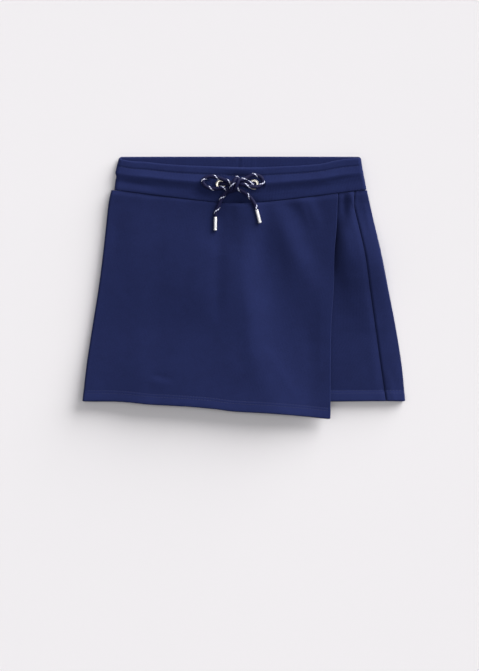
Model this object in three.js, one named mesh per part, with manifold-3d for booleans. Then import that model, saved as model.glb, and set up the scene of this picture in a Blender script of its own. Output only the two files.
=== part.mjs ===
// A child's wrap skort in navy sweatshirt knit, laid on its back on a flat surface: a pair of shorts with a
// one-piece wrap flap over the front, a folded elastic waistband, two eyelets and a drawcord tied in a bow.
//
// Frame, in millimetres: +X to the right as the front is looked at, +Y towards the waist, +Z up off the surface.
// The back panels lie on z = 0. The origin is under the middle of the whole box.

import * as THREE from 'three';
import { mergeVertices } from 'three/addons/utils/BufferGeometryUtils.js';
import Module from 'manifold-3d';

const wasm = await Module();
wasm.setup();

const { lerp, clamp, smoothstep, degToRad } = THREE.MathUtils;

// ---------------------------------------------------------------------------------------------------------------
// Driving sizes
// ---------------------------------------------------------------------------------------------------------------

const CLOTH = 1.5; // sweatshirt knit, with the soft air in it
const LAYER_GAP = 0.5; // between two layers that lie on each other
const SEAM_GAP = 0.3; // between two pieces that are sewn edge to edge

const HEM_DEPTH = 12; // turned up and sewn down with twin needles
const HEM_STEP = 2.5; // over which the turned layer runs out
const HEM_EXTRA = 0.8; // how much thicker the turned hem is

const MIDDLE = -2; // x of the centre front and centre back seams
const SHORTS_HEM = -125.4; // y of the hem of the shorts
const CROTCH = -60; // y of the crotch
const HIDDEN_INSET = 2.4; // how far the hidden left front stops inside the left fold
const INSEAM_SPREAD = 16; // half of the gap between the two legs at the hem
const PANEL_LENGTH = 230; // from the waist seam to the hem, to space the rows by
const FOLD_REACH = 2.6; // how far a side fold of the cloth rounds in from the outline

// How the lying layers swell and sink, each with how far it reaches.
const WAIST_LIFT = { high: 1.9, reach: 20 }; // panels rise to the thicker waistband
const SEAM_ROLL = { deep: 0.9, reach: 2.2 }; // and roll down into its seam
const FOLD_PUFF = { high: 1.6, reach: 14 }; // the side folds stand a little proud
const HEM_PILE = { high: 2.6, from: 14, to: 52 }; // the flap rides up over the hems of the shorts
const HEM_SAG = { slope: 0.07, from: 2 }; // and sinks where it hangs past them
const FREE_LIFT = { high: 1.0, reach: 26 }; // the flap's free edge stands off the leg
const SHARED_RIDGES = 0.45; // how much of the flap's folds the legs under it take up

const WAIST = { middle: -4, low: 91.6, round: 3.5, slope: 0.13, backLow: 103.4, backRise: 3.2, reach: 140 };
const WAIST_TOP = { middle: -3.2, front: 131.2, frontRise: 11.5, back: 143.6, backFall: 0.9, reach: 133 };
const FLAP_HEM = { level: -125.2, bendAt: -132, round: 12, slope: 0.0843 };

const BAND_HEIGHT = 39.6; // folded band with 35 mm elastic in it
const BAND_WALL = 3.6; // outer knit, elastic and inner knit
const BAND_GAP = 0.6; // between the front and the back of the flattened band

const EYELET = { outer: 5.75, bore: 2.6, barrel: 3.05, flange: 1.1, depth: 2.0 };
const EYELET_PRESS = { flat: 9.6, free: 13, seat: 1.5 }; // how the eyelet presses the band flat round itself
const CORD_RADIUS = 2.1;
const AGLET = { radius: 2.0, length: 15, lip: 0.35 };

// The laid outline below the waistband. Each row is a height: the left fold, the right fold, the side seam that
// has rolled to the front on the right, and the free edge of the wrap flap.
const SIDES = [
  { y: 107, left: -144.4, right: 135.4, seam: 123.6, free: 105.0 },
  { y: 90, left: -147.4, right: 139.0, seam: 122.9, free: 105.0 },
  { y: 70, left: -150.1, right: 143.4, seam: 127.0, free: 104.8 },
  { y: 35, left: -154.5, right: 152.2, seam: 134.6, free: 101.9 },
  { y: 0, left: -158.9, right: 158.9, seam: 139.7, free: 99.8 },
  { y: -40, left: -164.6, right: 166.4, seam: 145.6, free: 97.3 },
  { y: -85, left: -171.8, right: 173.9, seam: 151.9, free: 96.7 },
  { y: -126, left: -177.7, right: 177.7, seam: 157.7, free: 96.3 },
  { y: -146, left: -180.4, right: 179.6, seam: 160.2, free: 95.9 },
];

// The flattened waistband's own outline, from its seam up to its top fold.
const BAND_SIDES = [
  { rise: 0.0, left: -141.2, right: 135.3 },
  { rise: 0.3, left: -139.6, right: 133.4 },
  { rise: 0.42, left: -138.5, right: 132.4 },
  { rise: 0.55, left: -139.6, right: 132.0 },
  { rise: 1.0, left: -135.6, right: 129.4 },
];

// Section of the front of the waistband, from its top fold down. out is the outer face's height over the middle of
// the wall: three soft channels, a row of stitching under the first and a soft valley under the second.
const BAND_SECTION = [
  { drop: 0.0, out: 0.0 },
  { drop: 0.8, out: 1.2 },
  { drop: 3.2, out: 1.8 },
  { drop: 6.5, out: 1.1 },
  { drop: 9.2, out: 2.1 },
  { drop: 12.6, out: 2.6 },
  { drop: 16.8, out: 2.0 },
  { drop: 20.8, out: 1.0 },
  { drop: 25.5, out: 2.0 },
  { drop: 31.0, out: 1.9 },
  { drop: 36.5, out: 1.3 },
  { drop: 39.6, out: 0.6 },
];

// Largest folds of the wrap flap and of the leg panel beside it: each is a soft ridge, with the points that its
// crest passes through and its half width and height there.
const FLAP_RIDGES = [
  [
    { x: 0, y: 92, half: 14, high: 1.4 },
    { x: 1, y: 60, half: 17, high: 3.6 },
    { x: 2, y: -14, half: 19, high: 3.6 },
    { x: 11, y: -48, half: 20, high: 3.0 },
    { x: 29, y: -91, half: 20, high: 1.8 },
    { x: 42, y: -116, half: 20, high: 0.8 },
  ],
  [
    { x: 50, y: 94, half: 12, high: 1.0 },
    { x: 52, y: 66, half: 15, high: 2.6 },
    { x: 57, y: 30, half: 17, high: 2.0 },
    { x: 64, y: -20, half: 20, high: 0.2 },
  ],
  [
    { x: -62, y: 90, half: 22, high: 0.3 },
    { x: -74, y: 20, half: 30, high: 0.9 },
    { x: -84, y: -60, half: 34, high: 0.4 },
  ],
  [
    { x: 99, y: 101, half: 9, high: 1.2 },
    { x: 96, y: 40, half: 12, high: 2.0 },
    { x: 91, y: -30, half: 14, high: 1.0 },
    { x: 88, y: -90, half: 14, high: 0.2 },
  ],
];
const RIDGE_FADE = { top: 9, foot: 18 }; // how far past its first and last point a ridge dies away
const LEG_RIDGES = [
  [
    { x: 118, y: 98, half: 6, high: 2.2 },
    { x: 120, y: 70, half: 8, high: 3.3 },
    { x: 126, y: 35, half: 9, high: 3.1 },
    { x: 131, y: 0, half: 11, high: 2.0 },
    { x: 139, y: -60, half: 14, high: 0.9 },
    { x: 146, y: -112, half: 14, high: 0.3 },
  ],
];

// Where the hems stand up off the surface in slow waves; the flap over the legs takes each of them twice.
const HEM_WAVES = [
  { x: -80, half: 50, high: 2.7 },
  { x: 38, half: 38, high: 1.6 },
  { x: 140, half: 24, high: 0.5 },
];
const WAVE_REACH = 70; // how far up from the hem a wave runs out

// ---------------------------------------------------------------------------------------------------------------
// Plan of the laid garment: lines that the pieces are cut and sewn along
// ---------------------------------------------------------------------------------------------------------------

/** Smooth curve through the rows of a table: column `name` at any value `q` of column `key`. */
function through(table, key, name) {
  const at = table.map((row) => row[key]);
  const value = table.map((row) => row[name]);
  const last = at.length - 1;
  const way = Math.sign(at[last] - at[0]);
  const slope = value.map((_, i) => {
    const a = Math.max(i - 1, 0);
    const b = Math.min(i + 1, last);
    return (value[b] - value[a]) / (at[b] - at[a]);
  });
  return (q) => {
    let i = 0;
    while (i < last - 1 && (q - at[i + 1]) * way > 0) i += 1;
    const span = at[i + 1] - at[i];
    const f = clamp((q - at[i]) / span, 0, 1);
    const g = 1 - f;
    return (
      value[i] * g * g * (1 + 2 * f) +
      value[i + 1] * f * f * (1 + 2 * g) +
      span * f * g * (slope[i] * g - slope[i + 1] * f)
    );
  };
}

const leftFold = through(SIDES, 'y', 'left');
const rightFold = through(SIDES, 'y', 'right');
const sideSeam = through(SIDES, 'y', 'seam');
const freeEdge = through(SIDES, 'y', 'free');

const bandLeft = through(BAND_SIDES, 'rise', 'left');
const bandRight = through(BAND_SIDES, 'rise', 'right');
const bandOut = through(BAND_SECTION, 'drop', 'out');

/** Seam of the front panels to the waistband: a shallow V with a round bottom. */
function frontSeam(x) {
  const { middle, low, round, slope } = WAIST;
  return low - round + Math.hypot(round, slope * (x - middle));
}

/** Seam of the back panels to the waistband: almost straight, meeting the front seam at the sides. */
function backSeam(x) {
  const { middle, backLow, backRise, reach } = WAIST;
  return backLow + backRise * Math.min(1, Math.abs(x - middle) / reach) ** 4;
}

/** Top fold of the waistband's front, which dips, and of its back, which hardly does. */
const fromMiddle = (x) => Math.abs(x - WAIST_TOP.middle) / WAIST_TOP.reach;
const frontTop = (x) => WAIST_TOP.front + WAIST_TOP.frontRise * fromMiddle(x) ** 1.6;
const backTop = (x) => WAIST_TOP.back - WAIST_TOP.backFall * fromMiddle(x) ** 2;

/** Hem of the wrap flap: level at the left, then falling steadily to the corner of its free edge. */
function flapHem(x) {
  const { level, bendAt, round, slope } = FLAP_HEM;
  return level - slope * (Math.hypot(Math.max(x - bendAt, 0), round) - round);
}

const shortsHem = () => SHORTS_HEM;

/** Inner edge of a leg, side -1 or 1: the centre seam down to the crotch, then the inseam running out. */
const legInner = (side) => (y) => {
  const spread = INSEAM_SPREAD * clamp((CROTCH - y) / (CROTCH - SHORTS_HEM), 0, 1);
  return MIDDLE + side * (SEAM_GAP / 2 + spread);
};

// ---------------------------------------------------------------------------------------------------------------
// Heights of the lying layers
// ---------------------------------------------------------------------------------------------------------------

/** Where the turned hem lies, 1 on it and 0 above it, at a distance up from the hem's edge. */
const onHem = (up) => 1 - smoothstep(up, HEM_DEPTH - HEM_STEP, HEM_DEPTH);

/** Height of a set of soft ridges at a point: each a bell across a crest that runs down the cloth. */
function ridgeHeight(ridges, x, y) {
  let height = 0;
  for (const crest of ridges) {
    const [top, foot] = [crest[0].y, crest.at(-1).y];
    const inside = smoothstep(y, foot - RIDGE_FADE.foot, foot) * (1 - smoothstep(y, top, top + RIDGE_FADE.top));
    const [middle, half, high] = ['x', 'half', 'high'].map((name) => through(crest, 'y', name)(y));
    height += Math.max(high, 0) * inside * Math.exp(-(((x - middle) / half) ** 2));
  }
  return height;
}

/** How a front panel rises to the waistband and rolls down into its seam. */
function waistRise(x, y) {
  const below = Math.max(frontSeam(x) - y, 0);
  const lift = WAIST_LIFT.high * Math.exp(-below / WAIST_LIFT.reach);
  return lift - SEAM_ROLL.deep * Math.exp(-((below / SEAM_ROLL.reach) ** 2));
}

/** Lift of the hem waves at a point, greatest at the hem. */
function hemWave(x, y) {
  const near = 1 - smoothstep(y, SHORTS_HEM, SHORTS_HEM + WAVE_REACH);
  return near * HEM_WAVES.reduce((sum, wave) => sum + wave.high * Math.exp(-(((x - wave.x) / wave.half) ** 2)), 0);
}

/** How proud the cloth stands by the side folds. */
function foldPuff(x, y) {
  const inside = Math.min(x - leftFold(y), rightFold(y) - x) - FOLD_REACH;
  return FOLD_PUFF.high * Math.exp(-Math.max(inside, 0) / FOLD_PUFF.reach);
}

/** Top face of the front legs: on the back panels, lifted by the hems at the bottom and the waist seam at the top. */
function legTop(x, y) {
  const hems = 2 * HEM_EXTRA * onHem(y - SHORTS_HEM);
  const folds = ridgeHeight(LEG_RIDGES, x, y) + SHARED_RIDGES * ridgeHeight(FLAP_RIDGES, x, y);
  const puff = x > MIDDLE ? foldPuff(x, y) : 0;
  return 2 * CLOTH + LAYER_GAP + hems + waistRise(x, y) + puff + folds + hemWave(x, y);
}

/** Top face of the wrap flap: clear of the legs, riding over the pile of hems and sagging a little beyond it. */
function flapTop(x, y) {
  const pile = HEM_PILE.high * (1 - smoothstep(y, SHORTS_HEM + HEM_PILE.from, SHORTS_HEM + HEM_PILE.to));
  const sag = HEM_SAG.slope * Math.max(SHORTS_HEM - HEM_SAG.from - y, 0);
  const free = FREE_LIFT.high * smoothstep(x, freeEdge(y) - FREE_LIFT.reach, freeEdge(y));
  const base = 3 * CLOTH + 2.4 * LAYER_GAP;
  const puff = x < MIDDLE ? foldPuff(x, y) : 0;
  return base + waistRise(x, y) + pile - sag + free + puff + ridgeHeight(FLAP_RIDGES, x, y) + 2 * hemWave(x, y);
}

// ---------------------------------------------------------------------------------------------------------------
// Makers
// ---------------------------------------------------------------------------------------------------------------

const knit = new THREE.MeshStandardMaterial({ color: '#232b52', roughness: 0.95, metalness: 0 });
const bandKnit = new THREE.MeshStandardMaterial({ color: '#262e57', roughness: 0.95, metalness: 0 });
const braid = new THREE.MeshStandardMaterial({ color: '#15172b', roughness: 0.8, metalness: 0 });
const nickel = new THREE.MeshStandardMaterial({ color: '#dedcd8', roughness: 0.22, metalness: 1 });

function named(name, geometry, material) {
  const mesh = new THREE.Mesh(geometry, material);
  mesh.name = name;
  return mesh;
}

/** Even steps from a to b, with both ends. */
const steps = (count, a = 0, b = 1) => Array.from({ length: count + 1 }, (_, i) => lerp(a, b, i / count));

/** Sorted stations without near doubles. */
function stations(...lists) {
  const all = lists.flat().sort((a, b) => a - b);
  return all.filter((q, i) => i === 0 || q - all[i - 1] > 1e-4);
}

function indexed(points, index) {
  const geometry = new THREE.BufferGeometry();
  geometry.setAttribute('position', new THREE.Float32BufferAttribute(points.flatMap((p) => p.toArray()), 3));
  geometry.setIndex(index);
  geometry.computeVertexNormals();
  return geometry;
}

/**
 * A closed wall of cloth. face(s, v) is a point of its outer face, s running across and v up the panel, so that
 * s crossed with v points outwards. The inner face lies thickness(s, v) behind it, square to it, and a rim closes
 * the two.
 */
function clothWall(acrossStations, upStations, face, thickness) {
  const nudge = 1e-3;
  const outer = [];
  const inner = [];
  for (const v of upStations) {
    for (const s of acrossStations) {
      const point = face(s, v);
      const [s0, s1] = [Math.max(s - nudge, acrossStations[0]), Math.min(s + nudge, acrossStations.at(-1))];
      const [v0, v1] = [Math.max(v - nudge, upStations[0]), Math.min(v + nudge, upStations.at(-1))];
      const alongS = face(s1, v).sub(face(s0, v));
      const alongV = face(s, v1).sub(face(s, v0));
      const normal = alongS.cross(alongV).normalize();
      outer.push(point);
      inner.push(point.clone().addScaledVector(normal, -thickness(s, v)));
    }
  }
  const wide = acrossStations.length;
  const high = upStations.length;
  const half = outer.length;
  const at = (i, j) => j * wide + i;
  const index = [];
  const quad = (a, b, c, d) => index.push(a, b, c, a, c, d);
  for (let j = 0; j < high - 1; j += 1) {
    for (let i = 0; i < wide - 1; i += 1) {
      const [a, b, c, d] = [at(i, j), at(i + 1, j), at(i + 1, j + 1), at(i, j + 1)];
      quad(a, b, c, d);
      quad(half + d, half + c, half + b, half + a);
    }
  }
  for (let i = 0; i < wide - 1; i += 1) {
    quad(half + at(i, 0), half + at(i + 1, 0), at(i + 1, 0), at(i, 0));
    quad(at(i, high - 1), at(i + 1, high - 1), half + at(i + 1, high - 1), half + at(i, high - 1));
  }
  for (let j = 0; j < high - 1; j += 1) {
    quad(at(0, j), at(0, j + 1), half + at(0, j + 1), half + at(0, j));
    quad(half + at(wide - 1, j), half + at(wide - 1, j + 1), at(wide - 1, j + 1), at(wide - 1, j));
  }
  return indexed([...outer, ...inner], index);
}

/** Plan position of a panel: share f across between two upright lines, share v up between two level lines. */
function planPoint(f, v, { left, right, bottom, top }) {
  let x = 0;
  let y = lerp(bottom(x), top(x), v);
  for (let pass = 0; pass < 4; pass += 1) {
    x = lerp(left(y), right(y), f);
    y = lerp(bottom(x), top(x), v);
  }
  return { x, y };
}

/** Rows up a panel, as shares of its length: close at the hem and under the waist seam, evenly between them. */
function panelRows(count) {
  const hemRows = [0, HEM_DEPTH - HEM_STEP, HEM_DEPTH].map((mm) => mm / PANEL_LENGTH);
  const waistRows = [14, 6, 2, 0].map((mm) => 1 - mm / PANEL_LENGTH);
  const margin = 26 / PANEL_LENGTH;
  return stations(hemRows, steps(count, margin, 1 - margin), waistRows);
}

/** Rows up a leg: the same on front and back, so that their seams match, with one on each side's crotch. */
function legRows() {
  const crotchShares = [frontSeam(MIDDLE), backSeam(MIDDLE)].map(
    (seam) => (CROTCH - SHORTS_HEM) / (seam - SEAM_GAP - SHORTS_HEM),
  );
  const clear = (v) => crotchShares.every((share) => Math.abs(v - share) > 5 / PANEL_LENGTH);
  return stations(panelRows(8).filter(clear), crotchShares);
}

// ---------------------------------------------------------------------------------------------------------------
// Panels
// ---------------------------------------------------------------------------------------------------------------

/** The wrap flap: from the left side seam, over the left fold and across the front to its free edge. */
function wrapFlap() {
  const plan = {
    left: (y) => leftFold(y) + FOLD_REACH,
    right: freeEdge,
    bottom: flapHem,
    top: (x) => frontSeam(x) - SEAM_GAP,
  };
  const face = (s, v) => {
    const { x, y } = planPoint(Math.max(s, 0), v, plan);
    const z = flapTop(x, y);
    if (s >= 0) return new THREE.Vector3(x, y, z);
    const turn = degToRad(90 * s); // 0 on top of the fold, -90 at the seam on the outline
    const seamHeight = z / 2 + SEAM_GAP;
    return new THREE.Vector3(x + FOLD_REACH * Math.sin(turn), y, lerp(seamHeight, z, Math.cos(turn)));
  };
  const thickness = (s, v) => {
    const { x, y } = planPoint(Math.max(s, 0), v, plan);
    return CLOTH + HEM_EXTRA * onHem(y - flapHem(x)) * smoothstep(s, 0, 0.03);
  };
  const across = stations([-1, -0.66, -0.33], steps(28));
  return named('wrap_flap', clothWall(across, panelRows(12), face, thickness), knit);
}

/** A front leg that is seen beside or hidden under the flap, from one upright line to another. */
function frontLeg(name, left, right) {
  const ridgeColumns = [0.62, 0.74, 0.83, 0.9];
  const columns = stations(steps(14), ridgeColumns);
  const plan = { left, right, bottom: shortsHem, top: (x) => frontSeam(x) - SEAM_GAP };
  const face = (s, v) => {
    const { x, y } = planPoint(s, v, plan);
    return new THREE.Vector3(x, y, legTop(x, y));
  };
  const thickness = (s, v) => {
    const { y } = planPoint(s, v, plan);
    return CLOTH + HEM_EXTRA * onHem(y - SHORTS_HEM);
  };
  return named(name, clothWall(columns, legRows(), face, thickness), knit);
}

/** The left back leg: flat on the surface, its outer side rounding up to the side seam on the left fold. */
function backLegLeft() {
  const plan = {
    left: legInner(-1),
    right: (y) => leftFold(y) + FOLD_REACH,
    bottom: shortsHem,
    top: (x) => backSeam(x) - SEAM_GAP,
  };
  const face = (s, v) => {
    const { x, y } = planPoint(Math.min(s, 1), v, plan);
    if (s <= 1) return new THREE.Vector3(x, y, 0);
    const turn = degToRad(90 * (s - 1)); // 0 on the surface, 90 at the seam on the outline
    const seamHeight = flapTop(x, y) / 2 - SEAM_GAP / 2;
    return new THREE.Vector3(x - FOLD_REACH * Math.sin(turn), y, seamHeight * (1 - Math.cos(turn)));
  };
  const thickness = (s, v) => {
    const { y } = planPoint(Math.min(s, 1), v, plan);
    return CLOTH + HEM_EXTRA * onHem(y - SHORTS_HEM) * (1 - smoothstep(s, 0.97, 1));
  };
  const across = stations(steps(9), [0.97, 1.33, 1.66, 2]);
  return named('back_leg_left', clothWall(across, legRows(), face, thickness), knit);
}

/** The right back leg: a strip on the front, from the side seam, round the right fold, then flat to the centre. */
function backLegRight() {
  const fold = (y) => rightFold(y) - FOLD_REACH;
  const strip = { left: (y) => sideSeam(y) + SEAM_GAP / 2, right: fold, bottom: shortsHem, top: frontSeam };
  const under = { left: fold, right: legInner(1), bottom: shortsHem, top: backSeam };
  const lower = (plan) => ({ ...plan, top: (x) => plan.top(x) - SEAM_GAP });
  const position = (s, v) => (s < 2 ? planPoint(Math.min(s, 1), v, lower(strip)) : planPoint(s - 2, v, lower(under)));
  const face = (s, v) => {
    const { x, y } = position(s, v);
    if (s <= 1) return new THREE.Vector3(x, y, legTop(x, y));
    if (s >= 2) return new THREE.Vector3(x, y, 0);
    const turn = degToRad(180 * (s - 1)); // 0 on top, 90 on the outline, 180 on the surface
    const half = legTop(x, y) / 2;
    return new THREE.Vector3(x + FOLD_REACH * Math.sin(turn), y, half * (1 + Math.cos(turn)));
  };
  const thickness = (s, v) => {
    const { y } = position(s, v);
    const flat = 1 - smoothstep(s, 0.85, 1) * (1 - smoothstep(s, 2, 2.03));
    return CLOTH + HEM_EXTRA * onHem(y - SHORTS_HEM) * flat;
  };
  const across = stations(steps(4), [0.85, 1.16, 1.33, 1.5, 1.66, 1.84], steps(9, 2, 3), [2.03]);
  return named('back_leg_right', clothWall(across, legRows(), face, thickness), knit);
}

// ---------------------------------------------------------------------------------------------------------------
// Waistband and eyelets
// ---------------------------------------------------------------------------------------------------------------

/** The two eyelets, by their middles. */
const EYELETS = { left: { x: -23.7, y: 112.4 }, right: { x: 13.0, y: 112.4 } };
const BAND_MIDDLE = (BAND_WALL + BAND_GAP) / 2; // from the band's mid plane to the middle of either wall
const BAND_AXIS = BAND_MIDDLE + BAND_WALL / 2; // height of that mid plane over the surface

/** How far the eyelets hold the band flat at a point: 1 on their flanges, 0 well away from them. */
function pressed(x, y) {
  const away = Math.min(...Object.values(EYELETS).map((eye) => Math.hypot(x - eye.x, y - eye.y)));
  return 1 - smoothstep(away, EYELET_PRESS.flat, EYELET_PRESS.free);
}

/** Outer face over the middle of the wall, on the front of the band. */
function bandRelief(x, y, drop) {
  return lerp(bandOut(drop), EYELET_PRESS.seat, pressed(x, y));
}

/** Height over the surface of the front of the band's outer face. */
function bandTop(x, y) {
  const drop = ((frontTop(x) - y) / (frontTop(x) - frontSeam(x))) * BAND_HEIGHT;
  return BAND_AXIS + BAND_MIDDLE + bandRelief(x, y, drop);
}

/**
 * The flattened band is a ring: its section is carried along the front from left to right, round the right fold,
 * back along the surface and round the left fold. Where the ring faces down, the outer face is pressed flat.
 */
function waistband() {
  const eyeColumns = Object.values(EYELETS).flatMap((eye) =>
    [-12, -7.5, 0, 7.5, 12].map((mm) => 0.5 + (eye.x + mm - WAIST_TOP.middle) / (2 * WAIST_TOP.reach)),
  );
  const frontColumns = stations(steps(14), eyeColumns);
  const around = [
    ...frontColumns.map((share) => ({ side: 'front', share, turn: 90 })),
    ...[60, 30, 0, -30, -60].map((turn) => ({ side: 'right', share: 1, turn })),
    ...steps(14).map((share) => ({ side: 'back', share: 1 - share, turn: -90 })),
    ...[-60, -30, 0, 30, 60].map((turn) => ({ side: 'left', share: 0, turn })),
  ];
  const section = [
    ...BAND_SECTION.map(({ drop }) => ({ drop, outer: true })),
    ...[BAND_HEIGHT, 26, 13, BAND_SECTION[1].drop].map((drop) => ({ drop, outer: false })),
  ];
  const points = [];
  for (const { share, turn } of around) {
    const up = Math.sin(degToRad(turn));
    const sideways = Math.cos(degToRad(turn)) * (share > 0.5 ? 1 : -1);
    const front = smoothstep(up, -1, 1);
    for (const { drop, outer } of section) {
      const rise = 1 - drop / BAND_HEIGHT;
      const foldOut = BAND_MIDDLE + BAND_WALL / 2;
      const foldX = lerp(bandLeft(rise) + foldOut, bandRight(rise) - foldOut, share);
      const flatOut = drop === 0 ? 0 : BAND_WALL / 2; // the crown of the top fold stays in the middle of the wall
      const bulge = bandRelief(foldX, lerp(frontSeam(foldX), frontTop(foldX), rise), drop);
      const out = lerp(flatOut, bulge, Math.max(up, 0));
      const inner = drop === BAND_SECTION[1].drop ? -BAND_SECTION[1].out : -BAND_WALL / 2;
      const reach = BAND_MIDDLE + (outer ? out : inner);
      const x = foldX + sideways * reach;
      const y = lerp(lerp(backSeam(x), backTop(x), rise), lerp(frontSeam(x), frontTop(x), rise), front);
      points.push(new THREE.Vector3(x, y, BAND_AXIS + up * reach));
    }
  }
  const index = [];
  const size = section.length;
  around.forEach((_, i) => {
    const next = (i + 1) % around.length;
    for (let k = 0; k < size; k += 1) {
      const after = (k + 1) % size;
      const [a, b, c, d] = [i * size + k, i * size + after, next * size + after, next * size + k];
      index.push(a, b, c, a, c, d);
    }
  });
  let solid = toManifold(indexed(points, index));
  const holeLength = 8;
  for (const eye of Object.values(EYELETS)) {
    const hole = new THREE.CylinderGeometry(EYELET.barrel + SEAM_GAP, EYELET.barrel + SEAM_GAP, holeLength, 20);
    hole.rotateX(Math.PI / 2);
    hole.translate(eye.x, eye.y, bandTop(eye.x, eye.y) - EYELET.depth - 2 * SEAM_GAP + holeLength / 2);
    solid = solid.subtract(toManifold(hole));
  }
  return named('waistband', fromManifold(solid), bandKnit);
}

function toManifold(geometry) {
  const bare = geometry.clone();
  bare.deleteAttribute('normal');
  bare.deleteAttribute('uv');
  const merged = mergeVertices(bare, 1e-4);
  return new wasm.Manifold(
    new wasm.Mesh({
      numProp: 3,
      vertProperties: new Float32Array(merged.attributes.position.array),
      triVerts: new Uint32Array(merged.index.array),
    }),
  );
}

function fromManifold(solid) {
  const { vertProperties, triVerts } = solid.getMesh();
  const geometry = new THREE.BufferGeometry();
  geometry.setAttribute('position', new THREE.BufferAttribute(vertProperties, 3));
  geometry.setIndex(new THREE.BufferAttribute(triVerts, 1));
  geometry.computeVertexNormals();
  return geometry;
}

/** A pressed metal eyelet: a rounded flange on the band and a barrel through its outer knit. */
function eyelet(name, { x, y }) {
  const { outer, bore, barrel, flange, depth } = EYELET;
  const profile = [
    [bore, -depth],
    [barrel, -depth],
    [barrel, 0],
    [outer - 0.2, 0],
    [outer, 0.35],
    [outer - 0.6, 0.85],
    [(outer + bore) / 2, flange],
    [bore + 0.5, 0.85],
    [bore, 0.3],
    [bore, -depth],
  ].map(([r, h]) => new THREE.Vector2(r, h));
  const geometry = new THREE.LatheGeometry(profile, 24);
  geometry.rotateX(Math.PI / 2);
  geometry.translate(x, y, bandTop(x, y) + SEAM_GAP);
  return named(name, geometry, nickel);
}

// ---------------------------------------------------------------------------------------------------------------
// Drawcord, tied in a bow
// ---------------------------------------------------------------------------------------------------------------

// Centre lines, chosen along the lying cord. The leads come up out of the eyelets, the loops lie on the band and
// the tails run down over the waist seam on to the flap.
const DRAWCORD = {
  drawcord_lead_left: [
    [-23.7, 112.4, 6.4], [-23.7, 112.4, 9.0], [-22.6, 112.2, 10.8], [-20.6, 112.0, 11.3], [-18.4, 112.0, 11.4],
  ],
  drawcord_lead_right: [
    [13.0, 112.4, 6.4], [13.0, 112.4, 8.8], [11.6, 113.2, 11.0], [7.2, 115.4, 11.4], [1.5, 116.6, 11.4],
    [-4.2, 115.4, 11.9],
  ],
  drawcord_loop_left: [
    [-18.0, 108.0, 13.2], [-23.0, 107.3, 12.6], [-29.0, 107.2, 11.8], [-35.0, 108.4, 11.4], [-40.0, 110.9, 11.2],
    [-43.2, 114.6, 11.2], [-42.2, 119.0, 11.3], [-37.6, 121.5, 11.5], [-31.8, 121.0, 12.0], [-25.6, 118.8, 12.9],
    [-18.5, 115.9, 13.9],
  ],
  drawcord_loop_right: [
    [-3.6, 111.5, 14.6], [1.5, 111.0, 15.4], [7.0, 110.2, 15.3], [13.5, 109.8, 14.8], [18.9, 111.2, 12.8],
    [22.0, 115.0, 11.6], [20.6, 119.8, 11.4], [15.8, 122.6, 11.6], [10.0, 123.2, 12.4], [4.0, 121.9, 13.4],
    [-2.7, 118.4, 15.8],
  ],
  drawcord_tail_left: [
    [-15.1, 104.5, 12.2], [-19.6, 101.9, 11.4], [-23.2, 98.2, 10.9], [-25.2, 93.0, 10.4], [-27.2, 87.6, 9.9],
    [-29.5, 82.2, 9.7], [-29.7, 77.6, 9.6],
  ],
  drawcord_tail_right: [
    [-5.0, 105.6, 12.6], [-0.6, 104.9, 12.1], [4.4, 102.2, 11.8], [9.2, 97.6, 11.6], [12.8, 92.0, 11.4],
    [14.9, 86.4, 11.0],
  ],
};
const KNOT = { x: -11.0, y: 111.6, z: 13.9, wide: 7.2, high: 7.6, deep: 4.6 };

/** A plain round tube along a centre line. */
function tube(name, route) {
  const curve = new THREE.CatmullRomCurve3(route.map((p) => new THREE.Vector3(...p)), false, 'centripetal');
  const sides = 10;
  const corners = steps(sides, 0, 2 * Math.PI).slice(0, -1);
  const section = new THREE.Shape(
    corners.map((turn) => new THREE.Vector2(Math.cos(turn), Math.sin(turn)).multiplyScalar(CORD_RADIUS)),
  );
  const length = curve.getLength();
  const geometry = new THREE.ExtrudeGeometry(section, {
    steps: Math.max(4, Math.round(length / (1.8 * CORD_RADIUS))),
    bevelEnabled: false,
    extrudePath: curve,
  });
  return named(name, geometry, braid);
}

/** The body of the bow's knot, which the leads, loops and tails run into. */
function knot() {
  const geometry = new THREE.SphereGeometry(1, 18, 12);
  geometry.scale(KNOT.wide, KNOT.high, KNOT.deep);
  geometry.translate(KNOT.x, KNOT.y, KNOT.z);
  return named('drawcord_knot', geometry, braid);
}

/** A metal tip on a tail's end: a cylinder with turned lips, lying in line with the tail. */
function aglet(name, tail, direction) {
  const { radius, length, lip } = AGLET;
  const profile = [
    [0, 0], [radius - lip, 0], [radius, lip], [radius, length - lip], [radius - lip, length], [0, length],
  ].map(([r, h]) => new THREE.Vector2(r, h));
  const geometry = new THREE.LatheGeometry(profile, 16);
  const along = new THREE.Vector3(...direction).normalize();
  geometry.applyQuaternion(new THREE.Quaternion().setFromUnitVectors(new THREE.Vector3(0, 1, 0), along));
  const end = new THREE.Vector3(...DRAWCORD[tail].at(-1)).addScaledVector(along, 2 * SEAM_GAP);
  geometry.translate(...end.toArray());
  return named(name, geometry, nickel);
}

// ---------------------------------------------------------------------------------------------------------------
// The part
// ---------------------------------------------------------------------------------------------------------------

const skort = new THREE.Group();
skort.add(
  waistband(),
  wrapFlap(),
  frontLeg('front_leg_right', legInner(1), (y) => sideSeam(y) - SEAM_GAP / 2),
  frontLeg('front_leg_left', (y) => leftFold(y) + HIDDEN_INSET, legInner(-1)),
  backLegLeft(),
  backLegRight(),
  eyelet('eyelet_left', EYELETS.left),
  eyelet('eyelet_right', EYELETS.right),
  ...Object.entries(DRAWCORD).map(([name, route]) => tube(name, route)),
  knot(),
  aglet('aglet_left', 'drawcord_tail_left', [-0.02, -1, -0.05]),
  aglet('aglet_right', 'drawcord_tail_right', [0.24, -1, -0.09]),
);

export default skort;
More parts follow.
